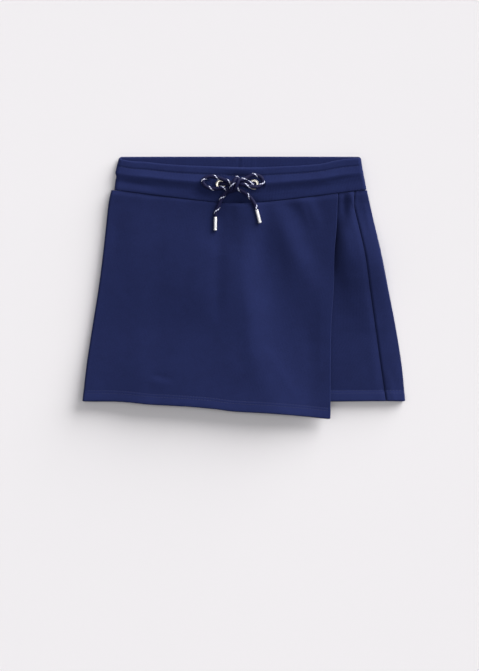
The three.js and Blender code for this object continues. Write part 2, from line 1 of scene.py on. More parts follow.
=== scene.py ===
"""A child's wrap skort in navy sweatshirt knit, laid flat: its looks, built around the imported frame.

The frame is in metres: +X to the right as the front is looked at, +Y towards the waist and +Z up
off the surface that the back panels lie on. Sizes in this file are millimetres, and `add_piece`
turns them to metres.
"""

import logging
import math
from dataclasses import dataclass, field
from enum import Enum
from functools import reduce
from typing import Callable, Sequence

import bpy
import numpy as np
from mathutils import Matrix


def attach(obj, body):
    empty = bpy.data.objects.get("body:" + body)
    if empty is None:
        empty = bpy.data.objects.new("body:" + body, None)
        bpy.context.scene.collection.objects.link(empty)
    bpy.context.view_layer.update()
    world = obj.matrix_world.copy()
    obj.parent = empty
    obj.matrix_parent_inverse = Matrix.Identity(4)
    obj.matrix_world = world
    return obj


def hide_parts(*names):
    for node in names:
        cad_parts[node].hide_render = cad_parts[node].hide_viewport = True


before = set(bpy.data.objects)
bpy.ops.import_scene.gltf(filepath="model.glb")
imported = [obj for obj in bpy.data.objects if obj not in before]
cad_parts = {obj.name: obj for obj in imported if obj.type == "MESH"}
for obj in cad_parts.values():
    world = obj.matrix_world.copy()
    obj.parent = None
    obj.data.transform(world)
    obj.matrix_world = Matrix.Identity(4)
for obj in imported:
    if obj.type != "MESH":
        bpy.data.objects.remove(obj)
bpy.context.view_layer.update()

log = logging.getLogger("wrap_skort")

MM = 0.001
BODY = "root"
STAND = 0.02  # how far a stitch's middle stands off the cloth

Array = np.ndarray
Line = Callable[[Array], Array]
Place = tuple[float, float, float]
Colour = tuple[float, float, float, float]
Socket = bpy.types.NodeSocket
Tree = bpy.types.NodeTree
Inputs = dict[str | int, object]


# -----------------------------------------------------------------------------
# Shapes of curves
# -----------------------------------------------------------------------------


def smooth(value: Array, low: float, high: float) -> Array:
    """Goes from 0 at low to 1 at high along 3t^2 - 2t^3, and stays flat outside."""
    t = np.clip((value - low) / (high - low), 0.0, 1.0)
    return t * t * (3.0 - 2.0 * t)


def bell(value: Array, half: Array | float) -> Array:
    """A bell of height 1 at 0: e to the minus (value / half)^2."""
    return np.exp(-np.square(value / half))


def lerp(a: Array, b: Array, share: Array) -> Array:
    """Straight mix of a and b."""
    return a + (b - a) * share


def roundness(distance: Array, radius: float) -> Array:
    """How far a rounded edge has turned in: 1 on the edge, 0 from `radius` on, along a quarter circle."""
    inside = 1.0 - np.clip(distance / radius, 0.0, 1.0)
    return 1.0 - np.sqrt(1.0 - np.square(inside))


def unit(vectors: Array) -> Array:
    """Vectors along the last axis, each divided by its own length."""
    return vectors / np.linalg.norm(vectors, axis=-1, keepdims=True)


def graded(length: float, coarse: float, fine: float, reach: float) -> Array:
    """Shares from 0 to 1 of a length, close together near both of its ends.

    The spacing grows from `fine` at an end to `coarse` at `reach` from it. The stations are where
    the running sum of 1 / spacing passes whole numbers.

    Args:
        length: The length that is divided.
        coarse: Spacing in the middle.
        fine: Spacing at both ends.
        reach: How far from an end the spacing has grown to `coarse`.

    Returns:
        The stations, as shares of the length.
    """
    line = np.linspace(0.0, length, 4001)
    spacing = lerp(fine, coarse, smooth(np.minimum(line, length - line), 0.0, reach))
    count = np.cumsum(1.0 / spacing)
    count = (count - count[0]) * (line[1] - line[0])
    return np.interp(np.linspace(0.0, count[-1], math.ceil(count[-1]) + 1), count, line) / length


@dataclass(frozen=True)
class Table:
    """A short table with named columns, each read as a smooth curve of the first column."""

    names: tuple[str, ...]
    rows: tuple[tuple[float, ...], ...]

    def read(self, name: str, at: Array) -> Array:
        """Reads a column by cubic pieces whose slope at a row is that of the line between its neighbours.

        Args:
            name: The column.
            at: Values of the first column to read it at. Past the last rows the column stays as it
                is there.

        Returns:
            The column's values.
        """
        rows = np.array(sorted(self.rows))
        key, value = rows[:, 0], rows[:, self.names.index(name)]
        before = np.maximum(np.arange(len(key)) - 1, 0)
        after = np.minimum(np.arange(len(key)) + 1, len(key) - 1)
        slope = (value[after] - value[before]) / (key[after] - key[before])
        i = np.clip(np.searchsorted(key, at, side="right") - 1, 0, len(key) - 2)
        span = key[i + 1] - key[i]
        f = np.clip((at - key[i]) / span, 0.0, 1.0)
        g = 1.0 - f
        ends = value[i] * g * g * (1.0 + 2.0 * f) + value[i + 1] * f * f * (1.0 + 2.0 * g)
        return ends + span * f * g * (slope[i] * g - slope[i + 1] * f)


@dataclass(frozen=True)
class Ridge:
    """A long soft fold: a bell across a crest that runs down the cloth, each side with its own width.

    Its rows are y, x of the crest, half width on the left, half width on the right, and height.
    """

    rows: tuple[tuple[float, float, float, float, float], ...]
    fade_top: float = 9.0
    fade_foot: float = 18.0

    def height(self, x: Array, y: Array) -> Array:
        """Height of the fold: height(y) times a bell of (x - crest(y)), faded out past both ends.

        Args:
            x: The points' x.
            y: Their y.

        Returns:
            Their heights, in millimetres.
        """
        table = Table(("y", "x", "left", "right", "high"), self.rows)
        foot, top = min(row[0] for row in self.rows), max(row[0] for row in self.rows)
        inside = smooth(y, foot - self.fade_foot, foot) * (1.0 - smooth(y, top, top + self.fade_top))
        off = x - table.read("x", y)
        across = bell(off, np.where(off < 0.0, table.read("left", y), table.read("right", y)))
        return np.maximum(table.read("high", y), 0.0) * inside * across


@dataclass(frozen=True)
class Crease:
    """A small soft fold from one place to another: a ridge where `high` is above 0, else a trough."""

    start: tuple[float, float]
    end: tuple[float, float]
    half: float
    high: float

    def height(self, x: Array, y: Array) -> Array:
        """Height at points: a bell of the distance from the line, which rises and dies along it as a sine.

        Args:
            x: The points' x.
            y: Their y.

        Returns:
            Their heights, in millimetres.
        """
        ax, ay = self.start
        bx, by = self.end
        long2 = (bx - ax) ** 2 + (by - ay) ** 2
        t = ((x - ax) * (bx - ax) + (y - ay) * (by - ay)) / long2
        off = ((x - ax) * (by - ay) - (y - ay) * (bx - ax)) / math.sqrt(long2)
        along = np.sin(np.pi * np.clip(t, 0.0, 1.0)) ** 0.8
        return self.high * along * bell(off, self.half * (0.6 + 0.4 * along))


def heights(folds: Sequence[Ridge | Crease], x: Array, y: Array) -> Array:
    """Sum of a set of folds at points."""
    return sum((fold.height(x, y) for fold in folds), np.zeros_like(x))


# Waves as lengths along x and y over 2 pi and a phase, and as a length over 2 pi, a phase and a height.
SLOW_WAVES = ((13.7, 41, 0.6), (23.1, -17.3, 2.1), (9.1, 63, 4), (37, 11.9, 1.2), (17.9, -29, 5.3))
GATHER_WAVES = ((1.31, 0.4, 1), (1.93, 2.6, 1), (3.17, 1.1, 1), (5.03, 4.4, 0.8))


def slow_waves(x: Array, y: Array) -> Array:
    """Unevenness of lying knit, from -1 to 1: the mean of long waves, sines of x / a + y / b + phase."""
    return sum(np.sin(x / a + y / b + phase) for a, b, phase in SLOW_WAVES) / len(SLOW_WAVES)


def gathers(along: Array) -> Array:
    """Small gathers along a seam with elastic in it, from -1 to 1: short sine waves that swell and die."""
    waves = sum(high * np.sin(along / length + phase) for length, phase, high in GATHER_WAVES)
    return waves / sum(high for _, _, high in GATHER_WAVES) * (0.65 + 0.35 * np.sin(along / 15.7 + 0.8))


# -----------------------------------------------------------------------------
# The laid garment: its plan and the heights of its layers
# -----------------------------------------------------------------------------


@dataclass(frozen=True)
class Plan:
    """Lines that the pieces are cut and sewn along, as the garment lies."""

    middle: float = -2.0
    shorts_hem: float = -125.4
    crotch: float = -60.0
    inseam_spread: float = 16.0
    fold_reach: float = 2.6
    seam_gap: float = 0.3
    waist_middle: float = -4.0
    waist_low: float = 91.6
    waist_round: float = 3.5
    waist_slope: float = 0.13
    back_low: float = 103.4
    back_rise: float = 3.2
    back_high: float = 143.2
    back_fall: float = 0.2
    hem_level: float = -125.2
    hem_bend: float = -132.0  # x where the flap's hem starts to fall
    hem_bend_round: float = 12.0
    hem_fall: float = 0.0843
    corner_round: float = 1.4
    sides: Table = Table(
        ("y", "left", "right", "seam", "free"),
        (
            (107, -144, 136.5, 123.6, 104.6), (90, -147.4, 140.3, 122.9, 104.2),
            (70, -149.6, 144.8, 127, 103.6), (35, -153.4, 152.9, 134.6, 100.9),
            (0, -157.9, 159.8, 139.7, 100.3), (-40, -164.3, 167.7, 145.6, 97.6),
            (-85, -171.1, 174.9, 151.9, 96.7), (-126, -175.8, 178.9, 157.7, 96.3),
            (-146, -178.6, 180.7, 160.2, 95.9),
        ),
    )
    flap_edge: Table = Table(  # how far the flap's hem waves down or up from its straight line
        ("x", "out"),
        (
            (-177, -0.2), (-148, -0.1), (-121, -1.3), (-103, -2), (-82, -1.4), (-55, -0.8), (-29, -1),
            (-14, -1.8), (3, -1.5), (24, -0.8), (48, -0.5), (63, -0.6), (78, -0.9), (96, -1.4),
        ),
    )
    front_fold: Table = Table(
        ("x", "y"),
        (
            (-139, 141.2), (-122, 138), (-106, 137.1), (-89, 135.2), (-70, 133.7), (-47, 132.7),
            (-14, 131.7), (8, 131.2), (25, 131.5), (47, 132.4), (67, 133.3), (88, 135.4), (103, 138.7),
            (115, 140.4), (131, 141.4),
        ),
    )

    def side(self, name: str) -> Line:
        """One of the upright lines, as x for a height y."""
        return lambda y: self.sides.read(name, y)

    def front_seam(self, x: Array) -> Array:
        """Waist seam of the front: a shallow V with a round bottom, a hyperbola."""
        slope = self.waist_slope * (x - self.waist_middle)
        return self.waist_low - self.waist_round + np.hypot(self.waist_round, slope)

    def back_seam(self, x: Array) -> Array:
        """Waist seam of the back: almost straight, rising with the fourth power near the sides."""
        off = np.minimum(1.0, np.abs(x - self.waist_middle) / 140.0)
        return self.back_low + self.back_rise * off**4

    def front_cut(self, x: Array) -> Array:
        """Top edge of a front panel, a seam's gap below the band."""
        return self.front_seam(x) - self.seam_gap

    def back_cut(self, x: Array) -> Array:
        """Top edge of a back panel, a seam's gap below the band."""
        return self.back_seam(x) - self.seam_gap

    def front_top(self, x: Array) -> Array:
        """Top fold of the waistband's front, which dips to the middle and swings up at the right."""
        return self.front_fold.read("y", x)

    def back_top(self, x: Array) -> Array:
        """Top fold of the waistband's back, which falls a little to the sides as a parabola."""
        return self.back_high - self.back_fall * (np.abs(x + 3.2) / 133.0) ** 2

    def flap_hem(self, x: Array) -> Array:
        """Hem of the wrap flap: level, then a steady fall, with slow waves and a rounded last corner.

        Args:
            x: Where to read it.

        Returns:
            The hem's y.
        """
        past = np.maximum(x - self.hem_bend, 0.0)
        fall = np.hypot(past, self.hem_bend_round) - self.hem_bend_round
        corner = self.corner_round * np.square(np.clip((x - 93.0) / 3.4, 0.0, 1.0))
        return self.hem_level - self.hem_fall * fall + self.flap_edge.read("out", x) + corner

    def short_hem(self, x: Array) -> Array:
        """Hem of the shorts: level, with a slight wave."""
        return self.shorts_hem + 0.25 * np.sin(x / 19.0)

    def level_hem(self, x: Array) -> Array:
        """Hem of the shorts on the side that lies on the surface."""
        return np.full_like(x, self.shorts_hem)

    def inner(self, side: int) -> Line:
        """Inner edge of a leg, side -1 or 1: the centre seam down to the crotch, then the inseam.

        Args:
            side: -1 for the left leg, 1 for the right.

        Returns:
            The edge, as x of y.
        """

        def line(y: Array) -> Array:
            """The edge's x at a height y."""
            spread = np.clip((self.crotch - y) / (self.crotch - self.shorts_hem), 0.0, 1.0)
            return self.middle + side * (self.seam_gap / 2 + self.inseam_spread * spread)

        return line


@dataclass(frozen=True)
class Edges:
    """Four lines round a panel: left and right as x of y, bottom and top as y of x."""

    left: Line
    right: Line
    bottom: Line
    top: Line

    def place(self, across: Array, up: Array) -> tuple[Array, Array]:
        """Finds the points that lie a share across and a share up, by going back and forth between both.

        Args:
            across: Share between the left and the right line.
            up: Share between the bottom and the top line.

        Returns:
            The points' x and y.
        """
        x = np.zeros_like(across)
        y = lerp(self.bottom(x), self.top(x), up)
        for _ in range(6):
            x = lerp(self.left(y), self.right(y), across)
            y = lerp(self.bottom(x), self.top(x), up)
        return x, y


@dataclass(frozen=True)
class Lay:
    """How high the layers lie: the legs on the surface, the flap on the legs, with their folds."""

    plan: Plan = field(default_factory=Plan)
    cloth: float = 1.5
    layer_gap: float = 0.5
    hem_depth: float = 12.0
    hem_step: float = 4.0
    hem_extra: float = 0.8
    hem_round: float = 1.3
    band_rise: float = 2.7  # how far a front panel stands up at the band
    band_reach: float = 20.0
    pucker: float = 0.16
    pucker_reach: float = 7.0
    needle_groove: float = 0.14
    needle_tunnel: float = 0.1
    left_swell: float = 0.7
    left_reach: float = 10.0
    left_step: float = 1.4
    right_swell: float = 0.5
    right_fold_fall: float = 1.5
    free_lift: float = 1.6  # how far the flap's free edge stands off the leg
    free_reach: float = 26.0
    curl: float = 1.3  # how far the flap's hem curls up
    curl_right: float = 3.1  # and how much further from its middle to the right
    curl_reach: float = 48.0
    flap_waves: float = 0.2
    leg_waves: float = 0.15
    seam_dip: float = 0.9
    pile: float = 2.6  # how far the hems under it lift the flap
    sag: float = 0.07  # how steeply the flap falls past them
    shared: float = 0.45  # how much of the flap's folds the legs under it take up
    stitch_rows: tuple[float, float] = (8.7, 11.5)  # twin needle, up from a hem's edge
    flap_ridges: tuple[Ridge, ...] = (
        Ridge((
            (92, 9, 90, 14, 0.8), (78, 6, 90, 17, 2.4), (63, -1, 90, 20, 4.4), (41, -3, 92, 21, 8.2),
            (19, -4, 94, 24, 10.4), (-3, -3, 95, 25, 11.6), (-25, 2, 95, 25, 11.8), (-47, 4, 96, 25, 11),
            (-69, 6, 110, 26, 9.6), (-91, 11, 122, 30, 8.2), (-108, 17, 130, 33, 6.8),
            (-122, 22, 136, 35, 6.2), (-146, 29, 140, 38, 5.6),
        )),
        Ridge((
            (92, 11, 22, 10, 2.7), (78, 9, 24, 12, 3.3), (60, 3, 21, 16, 2.2), (45, 1, 20, 18, 0.6),
        )),
        Ridge((
            (92, 35, 12, 12, 0.8), (80, 40, 14, 15, 3.1), (63, 45.5, 18, 16, 5.3), (41, 53, 21, 16, 5.4),
            (19, 63, 26, 19, 4.4), (-3, 75, 30, 20, 3), (-25, 82, 30, 20, 1.8), (-47, 84, 30, 20, 0.8),
        )),
        Ridge(((94, 65, 12, 13, 2.4), (79, 72, 8, 10, 1.9), (62, 78, 9, 9, 0.6))),
        Ridge(((90, -62, 22, 22, 0.4), (20, -74, 30, 30, 0.8), (-60, -84, 34, 34, 0.4))),
    )
    leg_ridges: tuple[Ridge, ...] = (
        Ridge((
            (100, 119, 4.5, 5, 2.4), (84, 119, 5, 5, 2.3), (73, 118.5, 7, 6, 1.1), (60, 121, 9, 7, 0.1),
        )),
        Ridge((
            (8, 122, 9, 12, 0.6), (-20, 131, 13, 14, 1.4), (-40, 138, 14, 14, 1),
        )),
    )
    swell: Table = Table(  # how high and how far off the leg's cloth swells up beside the free edge
        ("y", "high", "wide"),
        (
            (92, 0, 9), (80, 1.4, 9), (68, 4.4, 9), (56, 7.8, 9.2), (44, 9.8, 10), (30, 10.4, 11.6),
            (12, 8.6, 14.5), (-8, 4.6, 17), (-30, 1.4, 19), (-50, 0.2, 20),
        ),
    )
    hem_waves: Table = Table(  # where the hems stand up off the surface, as middle, half width and height
        ("x", "half", "high"),
        ((-80, 50, 2.7), (46, 34, 0.9), (134, 34, 1.5)),
    )
    flap_creases: tuple[Crease, ...] = (
        Crease((-26, 101), (-23, 34), 17, -2.2), Crease((-26, 62), (-28, -40), 9, -1.6),
        Crease((-11, 93), (-12.5, 68), 5, -0.5), Crease((37, 72), (44, 4), 7, -0.4),
        Crease((68, 92), (78, 66), 3.6, -0.45), Crease((75, 96), (86, 60), 5, 0.5),
        Crease((-102, -95.5), (-76, -101), 3.2, -0.5), Crease((-106, -103), (-74, -108), 4.2, 0.45),
        Crease((-121, 92), (-124, -6), 9, 0.5), Crease((-137, 84), (-141, 20), 6, -0.3),
        Crease((86, -6), (85, -98), 3, 0.2), Crease((22, -64), (60, -124), 6, 0.5),
        Crease((-48, 62), (-52, -20), 8, 0.3), Crease((-8, -40), (2, -104), 8, -0.35),
        Crease((66, -30), (78, -96), 8, -0.35),
    )
    leg_creases: tuple[Crease, ...] = (
        Crease((103, 78), (101, 10), 3.4, -2.3), Crease((113, 40), (130, -30), 6, -0.4),
        Crease((140, -60), (146, -118), 5, 0.3), Crease((119.5, 100), (122.5, 86), 2, 0.9),
        Crease((112, 102), (112, 76), 3, -1), Crease((107.5, 102), (107, 78), 2.4, 0.7),
        Crease((158, -92), (167, -130), 5, 0.8), Crease((163, -40), (168, -84), 5, -0.3),
        Crease((134, 92), (141, 58), 3, 0.5),
    )

    def waist_rise(self, x: Array, y: Array) -> Array:
        """How a front panel rises to the waistband and rolls into its seam: two decays with distance.

        Args:
            x: The points' x.
            y: Their y.

        Returns:
            How much the panel is lifted.
        """
        below = np.maximum(self.plan.front_seam(x) - y, 0.0)
        puckers = self.pucker * gathers(x) * np.exp(-below / self.pucker_reach)
        high = self.band_rise - 0.8 * bell(x + 60.0, 60.0) + 1.4 * bell(x + 7.0, 15.0)
        tight = smooth(x, -110.0, -75.0) * (1.0 - smooth(x, 40.0, 62.0))
        roll = lerp(1.8, 1.0, tight) * bell(below, lerp(3.6, 2.2, tight))
        return high * np.exp(-below / self.band_reach) - roll + puckers * smooth(below, 0.0, 2.0)

    def on_hem(self, up: Array) -> Array:
        """1 where the hem is turned up double, 0 above it."""
        return 1.0 - smooth(up, self.hem_depth - self.hem_step, self.hem_depth)

    def sewn(self, up: Array, along: Array) -> Array:
        """Grooves that the twin needles pull along a hem, the soft tunnel between them and small gathers.

        Args:
            up: Distance up from the hem's edge.
            along: Distance along it.

        Returns:
            What the sewing adds to the face.
        """
        low, high = self.stitch_rows
        grooves = bell(up - low, 0.6) + bell(up - high, 0.6)
        tunnel = bell(up - (low + high) / 2, 0.8)
        belly = bell(up - 0.4 * low, 0.42 * low)
        needles = self.needle_tunnel * tunnel - self.needle_groove * grooves
        return needles + belly * (0.3 + 0.12 * gathers(1.3 * along))

    def hem_wave(self, x: Array, y: Array) -> Array:
        """Lift of the slow waves that the hems stand up in: bells along the hem that run out upwards."""
        near = 1.0 - smooth(y, self.plan.shorts_hem + 4.0, self.plan.shorts_hem + 100.0)
        return near * sum(high * bell(x - middle, half) for middle, half, high in self.hem_waves.rows)

    def left_puff(self, x: Array, y: Array) -> Array:
        """How proud the cloth stands by the left fold: a decay with distance, and a low wide step.

        Args:
            x: The points' x.
            y: Their y.

        Returns:
            How much the cloth is lifted.
        """
        inside = np.maximum(x - self.plan.side("left")(y) - self.plan.fold_reach, 0.0)
        step = self.left_step * (1.0 - smooth(x, -116.0, -88.0))
        return self.left_swell * np.exp(-inside / self.left_reach) + step

    def right_fall(self, x: Array, y: Array) -> Array:
        """How the cloth stands on the strip and falls to the right fold: a wide swell less a decay."""
        inside = np.maximum(self.plan.side("right")(y) - self.plan.fold_reach - x, 0.0)
        return self.right_swell * np.exp(-inside / 20.0) - self.right_fold_fall * np.exp(-inside / 5.0)

    def beside_flap(self, x: Array, y: Array) -> Array:
        """How the leg swells up beside the flap's edge: a rise that levels out, and a fall past the seam.

        Args:
            x: The points' x.
            y: Their y.

        Returns:
            How much the leg is lifted.
        """
        off = np.maximum(x - self.plan.side("free")(y) + 3.5, 0.0)
        seam, right = self.plan.side("seam")(y), self.plan.side("right")(y) - self.plan.fold_reach
        rise = self.swell.read("high", y) * (1.0 - bell(off, self.swell.read("wide", y)))
        return rise * (1.0 - smooth(x, seam - 4.0, right + 80.0))

    def leg_top(self, x: Array, y: Array) -> Array:
        """Top face of the front of the shorts: on the back panels, lifted by hems and the waist seam.

        Args:
            x: The points' x.
            y: Their y.

        Returns:
            Their heights, in millimetres.
        """
        up = y - self.plan.shorts_hem
        hems = 1.1 * self.hem_extra * self.on_hem(up) + 0.28 * np.maximum(self.hem_depth - up, 0.0)
        folds = heights(self.leg_ridges, x, y) + self.shared * heights(self.flap_ridges, x, y)
        puff = np.where(x > self.plan.middle, self.right_fall(x, y), self.left_puff(x, y))
        puff = puff + self.beside_flap(x, y)
        below = np.maximum(self.plan.front_seam(x) - y, 0.0)
        base = 2.0 * self.cloth + self.layer_gap + 2.4 * np.exp(-below / 12.0) * smooth(x, 100.0, 107.0)
        return base + hems + self.waist_rise(x, y) + puff + folds + self.hem_wave(x, y)

    def flap_base(self, x: Array, y: Array) -> Array:
        """Top face of the wrap flap: clear of the legs, riding over the pile of hems, sagging past it.

        Args:
            x: The points' x.
            y: Their y.

        Returns:
            Their heights, in millimetres.
        """
        pile = self.pile * (1.0 - smooth(y, self.plan.shorts_hem + 14.0, self.plan.shorts_hem + 90.0))
        sag = self.sag * np.maximum(self.plan.shorts_hem - 2.0 - y, 0.0)
        free = self.plan.side("free")(y)
        up = y - self.plan.flap_hem(x)
        curl = self.curl + self.curl_right * smooth(x, -70.0, 20.0)
        curl = curl * np.square(np.maximum(1.0 - up / self.curl_reach, 0.0))
        lift = self.free_lift * smooth(x, free - self.free_reach, free)
        lift = lift + 0.16 * np.maximum(self.hem_depth - up, 0.0) + curl
        puff = self.left_puff(x, y)
        base = 3.0 * self.cloth + 2.4 * self.layer_gap
        folds = heights(self.flap_ridges, x, y) + 2.0 * self.hem_wave(x, y)
        return base + self.waist_rise(x, y) + pile - sag + lift + puff + folds

    def flap_face(self, x: Array, y: Array) -> Array:
        """Top face of the flap with its small creases and its sewn hem."""
        small = heights(self.flap_creases, x, y) + self.flap_waves * slow_waves(x, y)
        return self.flap_base(x, y) + small + self.sewn(y - self.plan.flap_hem(x), x)

    def leg_face(self, x: Array, y: Array) -> Array:
        """Top face of the front leg with its small creases and its sewn hem.

        Args:
            x: The points' x.
            y: Their y.

        Returns:
            Their heights, in millimetres.
        """
        small = heights(self.leg_creases, x, y) + self.leg_waves * slow_waves(x, y)
        off = x - self.plan.side("seam")(y)
        small = small - self.seam_dip * bell(off, np.where(off < 0.0, 3.6, 1.5))
        return self.leg_top(x, y) + small + self.sewn(y - self.plan.short_hem(x), x)


# -----------------------------------------------------------------------------
# Meshes
# -----------------------------------------------------------------------------


@dataclass
class Mesh:
    """Points, four-cornered faces that point outwards, and the corners' places on the cloth."""

    points: Array
    faces: Array
    corners: Array

    def joined(self, other: "Mesh") -> "Mesh":
        """This mesh and another as one.

        Args:
            other: The mesh whose faces come last.

        Returns:
            A new mesh.
        """
        return Mesh(
            np.concatenate([self.points, other.points]),
            np.concatenate([self.faces, other.faces + len(self.points)]),
            np.concatenate([self.corners, other.corners]),
        )


def grid_faces(rows: int, columns: int, ring: bool = False) -> Array:
    """Faces of a grid of points, row by row.

    Args:
        rows: Number of rows of points.
        columns: Number of points in a row.
        ring: Whether each row closes on itself.

    Returns:
        The faces' corners, counterclockwise where columns run right and rows run up.
    """
    i, j = np.meshgrid(np.arange(rows - 1), np.arange(columns if ring else columns - 1), indexing="ij")
    k = (j + 1) % columns
    low, high = i * columns, (i + 1) * columns
    return np.stack([low + j, low + k, high + k, high + j], axis=-1).reshape(-1, 4)


def grid_corners(u: Array, v: Array) -> Array:
    """Place on the cloth of each corner of a grid's faces, in the same order as `grid_faces`.

    Args:
        u: First coordinate of each point, by row and column. A ring has one more column than it has
            points.
        v: Second coordinate, in the same shape.

    Returns:
        An array of faces, corners and the two coordinates, in metres.
    """
    uv = np.stack([u, v], axis=-1) * MM
    return np.stack([uv[:-1, :-1], uv[:-1, 1:], uv[1:, 1:], uv[1:, :-1]], axis=2).reshape(-1, 4, 2)


def arc(points: Array, axis: int) -> Array:
    """Running length along one axis of a grid of points, from 0.

    Args:
        points: Points by row and column.
        axis: 0 to go up the rows, 1 to go across.

    Returns:
        The length at each point.
    """
    steps = np.linalg.norm(np.diff(points, axis=axis), axis=-1)
    start = np.zeros_like(np.take(steps, [0], axis=axis))
    return np.concatenate([start, np.cumsum(steps, axis=axis)], axis=axis)


def on_line(line: Array, run: Array, at: Array) -> Array:
    """Points of a line at distances along it, straight between its own points, which lie at `run`."""
    return np.stack([np.interp(at, run, line[:, k]) for k in range(3)], axis=-1)


def cloth_wall(face: Array, thickness: Array, rounding: Array) -> Mesh:
    """A closed wall of cloth behind a grid of points of its face, square to it, with rounded edges.

    Near a rounded edge the face sinks and the back rises, each by half the thickness times the
    rounding, so that the two meet in a half circle.

    Args:
        face: Points by row and column, rows running up and columns across, so that across x up
            points outwards.
        thickness: Thickness of the wall at each point.
        rounding: 0 away from the edges, 1 on a rounded one.

    Returns:
        The wall.
    """
    normal = unit(np.cross(np.gradient(face, axis=1), np.gradient(face, axis=0)))
    sunk = (0.5 * thickness * np.minimum(rounding, 0.94))[..., None]
    outer = face - normal * sunk
    inner = face - normal * (thickness[..., None] - sunk)
    rows, columns = thickness.shape
    front = grid_faces(rows, columns)
    index = np.arange(rows * columns).reshape(rows, columns)
    rim = np.concatenate([index[0, :-1], index[:-1, -1], index[-1, :0:-1], index[:0:-1, 0]])
    behind = rim + rows * columns
    ahead = np.roll(rim, -1)
    sides = np.stack([rim, behind, np.roll(behind, -1), ahead], axis=-1)
    u, v = arc(face, 1), arc(face, 0)
    flat = grid_corners(u, v)
    place = np.stack([u.ravel(), v.ravel()], axis=-1) * MM
    rim_place = np.stack([place[rim], place[rim], place[ahead], place[ahead]], axis=1)
    return Mesh(
        np.concatenate([outer.reshape(-1, 3), inner.reshape(-1, 3)]),
        np.concatenate([front, front[:, ::-1] + rows * columns, sides]),
        np.concatenate([flat, flat[:, ::-1], rim_place]),
    )


def put(name: str, data: bpy.types.ID, at: Place = (0.0, 0.0, 0.0)) -> bpy.types.Object:
    """Makes an object of a mesh, a camera or a light and puts it in the scene, in metres.

    Args:
        name: The object's name.
        data: What it shows.
        at: Its place.

    Returns:
        The object.
    """
    thing = bpy.data.objects.new(name, data)
    thing.location = at
    bpy.context.scene.collection.objects.link(thing)
    return thing


def add_piece(name: str, mesh: Mesh, material: bpy.types.Material) -> bpy.types.Object:
    """Makes a smooth-shaded object of a mesh, in metres, with its object at the origin.

    Args:
        name: The piece's name.
        mesh: Its shape, in millimetres.
        material: Its finish.

    Returns:
        The object.
    """
    data = bpy.data.meshes.new(name)
    data.from_pydata((mesh.points * MM).tolist(), [], mesh.faces.tolist())
    layer = data.uv_layers.new(name="cloth")
    layer.data.foreach_set("uv", mesh.corners.astype(np.float32).ravel())
    data.polygons.foreach_set("use_smooth", np.ones(len(data.polygons), dtype=bool))
    data.materials.append(material)
    data.validate()
    data.update()
    return put(name, data)


def add_part(
    name: str, mesh: Mesh, material: bpy.types.Material, nodes: Sequence[str] = ()
) -> bpy.types.Object:
    """Makes a piece of the garment, which rides on its body.

    Args:
        name: The piece's name.
        mesh: Its shape, in millimetres.
        material: Its finish.
        nodes: The solids that it replaces.

    Returns:
        The object.
    """
    piece = add_piece(name, mesh, material)
    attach(piece, BODY)
    if nodes:
        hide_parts(*nodes)
    return piece


def lathe(profile: Array, sides: int) -> Mesh:
    """Turns a closed loop or an axis-to-axis profile of (radius, height) round the Z axis.

    Args:
        profile: Points of the profile. With the solid on their left they run up the outside.
        sides: Number of steps round.

    Returns:
        The turned shape, with its poles as rings too small to see.
    """
    turn = 2.0 * np.pi * np.arange(sides) / sides
    radius = np.maximum(profile[:, :1], 0.01)
    height = np.broadcast_to(profile[:, 1:], (len(profile), sides))
    points = np.stack([radius * np.cos(turn), radius * np.sin(turn), height], axis=-1)
    u, v = np.meshgrid(np.arange(sides + 1) / sides / MM, np.arange(len(profile)) / MM)
    return Mesh(points.reshape(-1, 3), grid_faces(len(profile), sides, ring=True), grid_corners(u, v))


# -----------------------------------------------------------------------------
# Finishes
# -----------------------------------------------------------------------------


def linear(hex_colour: str) -> Colour:
    """Turns an sRGB hex colour such as '#232b52' to linear red, green, blue and alpha.

    Args:
        hex_colour: The colour.

    Returns:
        What a node's colour input takes.
    """
    channels = np.array([int(hex_colour[i : i + 2], 16) for i in (1, 3, 5)]) / 255.0
    straight = np.where(channels <= 0.04045, channels / 12.92, ((channels + 0.055) / 1.055) ** 2.4)
    return (*straight.tolist(), 1.0)


def feed(node: bpy.types.Node, inputs: Inputs) -> None:
    """Sets a node's inputs: a socket is linked to the input, and anything else becomes its constant.

    Args:
        node: The node.
        inputs: The sockets, numbers and colours, by the input's name or number.
    """
    for name, value in inputs.items():
        if isinstance(value, Socket):
            node.id_data.links.new(value, node.inputs[name])
        else:
            node.inputs[name].default_value = value


def add(tree: Tree, kind: str, inputs: Inputs | None = None, **settings: object) -> bpy.types.Node:
    """Adds a node to a tree.

    Args:
        tree: The node tree.
        kind: The node's type, without its ShaderNode prefix.
        inputs: What its inputs get, as in `feed`.
        **settings: Its own properties.

    Returns:
        The node.
    """
    node = tree.nodes.new("ShaderNode" + kind)
    for name, value in settings.items():
        setattr(node, name, value)
    feed(node, inputs or {})
    return node


def maths(tree: Tree, operation: str, *inputs: Socket | float) -> Socket:
    """A Math node's output. Its inputs are sockets or numbers, in order."""
    return add(tree, "Math", dict(enumerate(inputs)), operation=operation).outputs[0]


def noise(tree: Tree, scale: float, detail: float, roughness: float = 0.5) -> Socket:
    """Noise on the object's own coordinates, `scale` lumps to a metre.

    Args:
        tree: The node tree.
        scale: Lumps to a metre.
        detail: How many finer layers it has.
        roughness: How strong they are.

    Returns:
        The noise, about 0.5.
    """
    inputs = {"Scale": scale, "Detail": detail, "Roughness": roughness}
    inputs["Vector"] = add(tree, "TexCoord").outputs["Object"]
    return add(tree, "TexNoise", inputs).outputs[0]


def blend(tree: Tree, share: Socket, first: Socket | Colour, second: Socket | Colour) -> Socket:
    """A mix of two colours."""
    return add(tree, "Mix", {0: share, 6: first, 7: second}, data_type="RGBA").outputs[2]


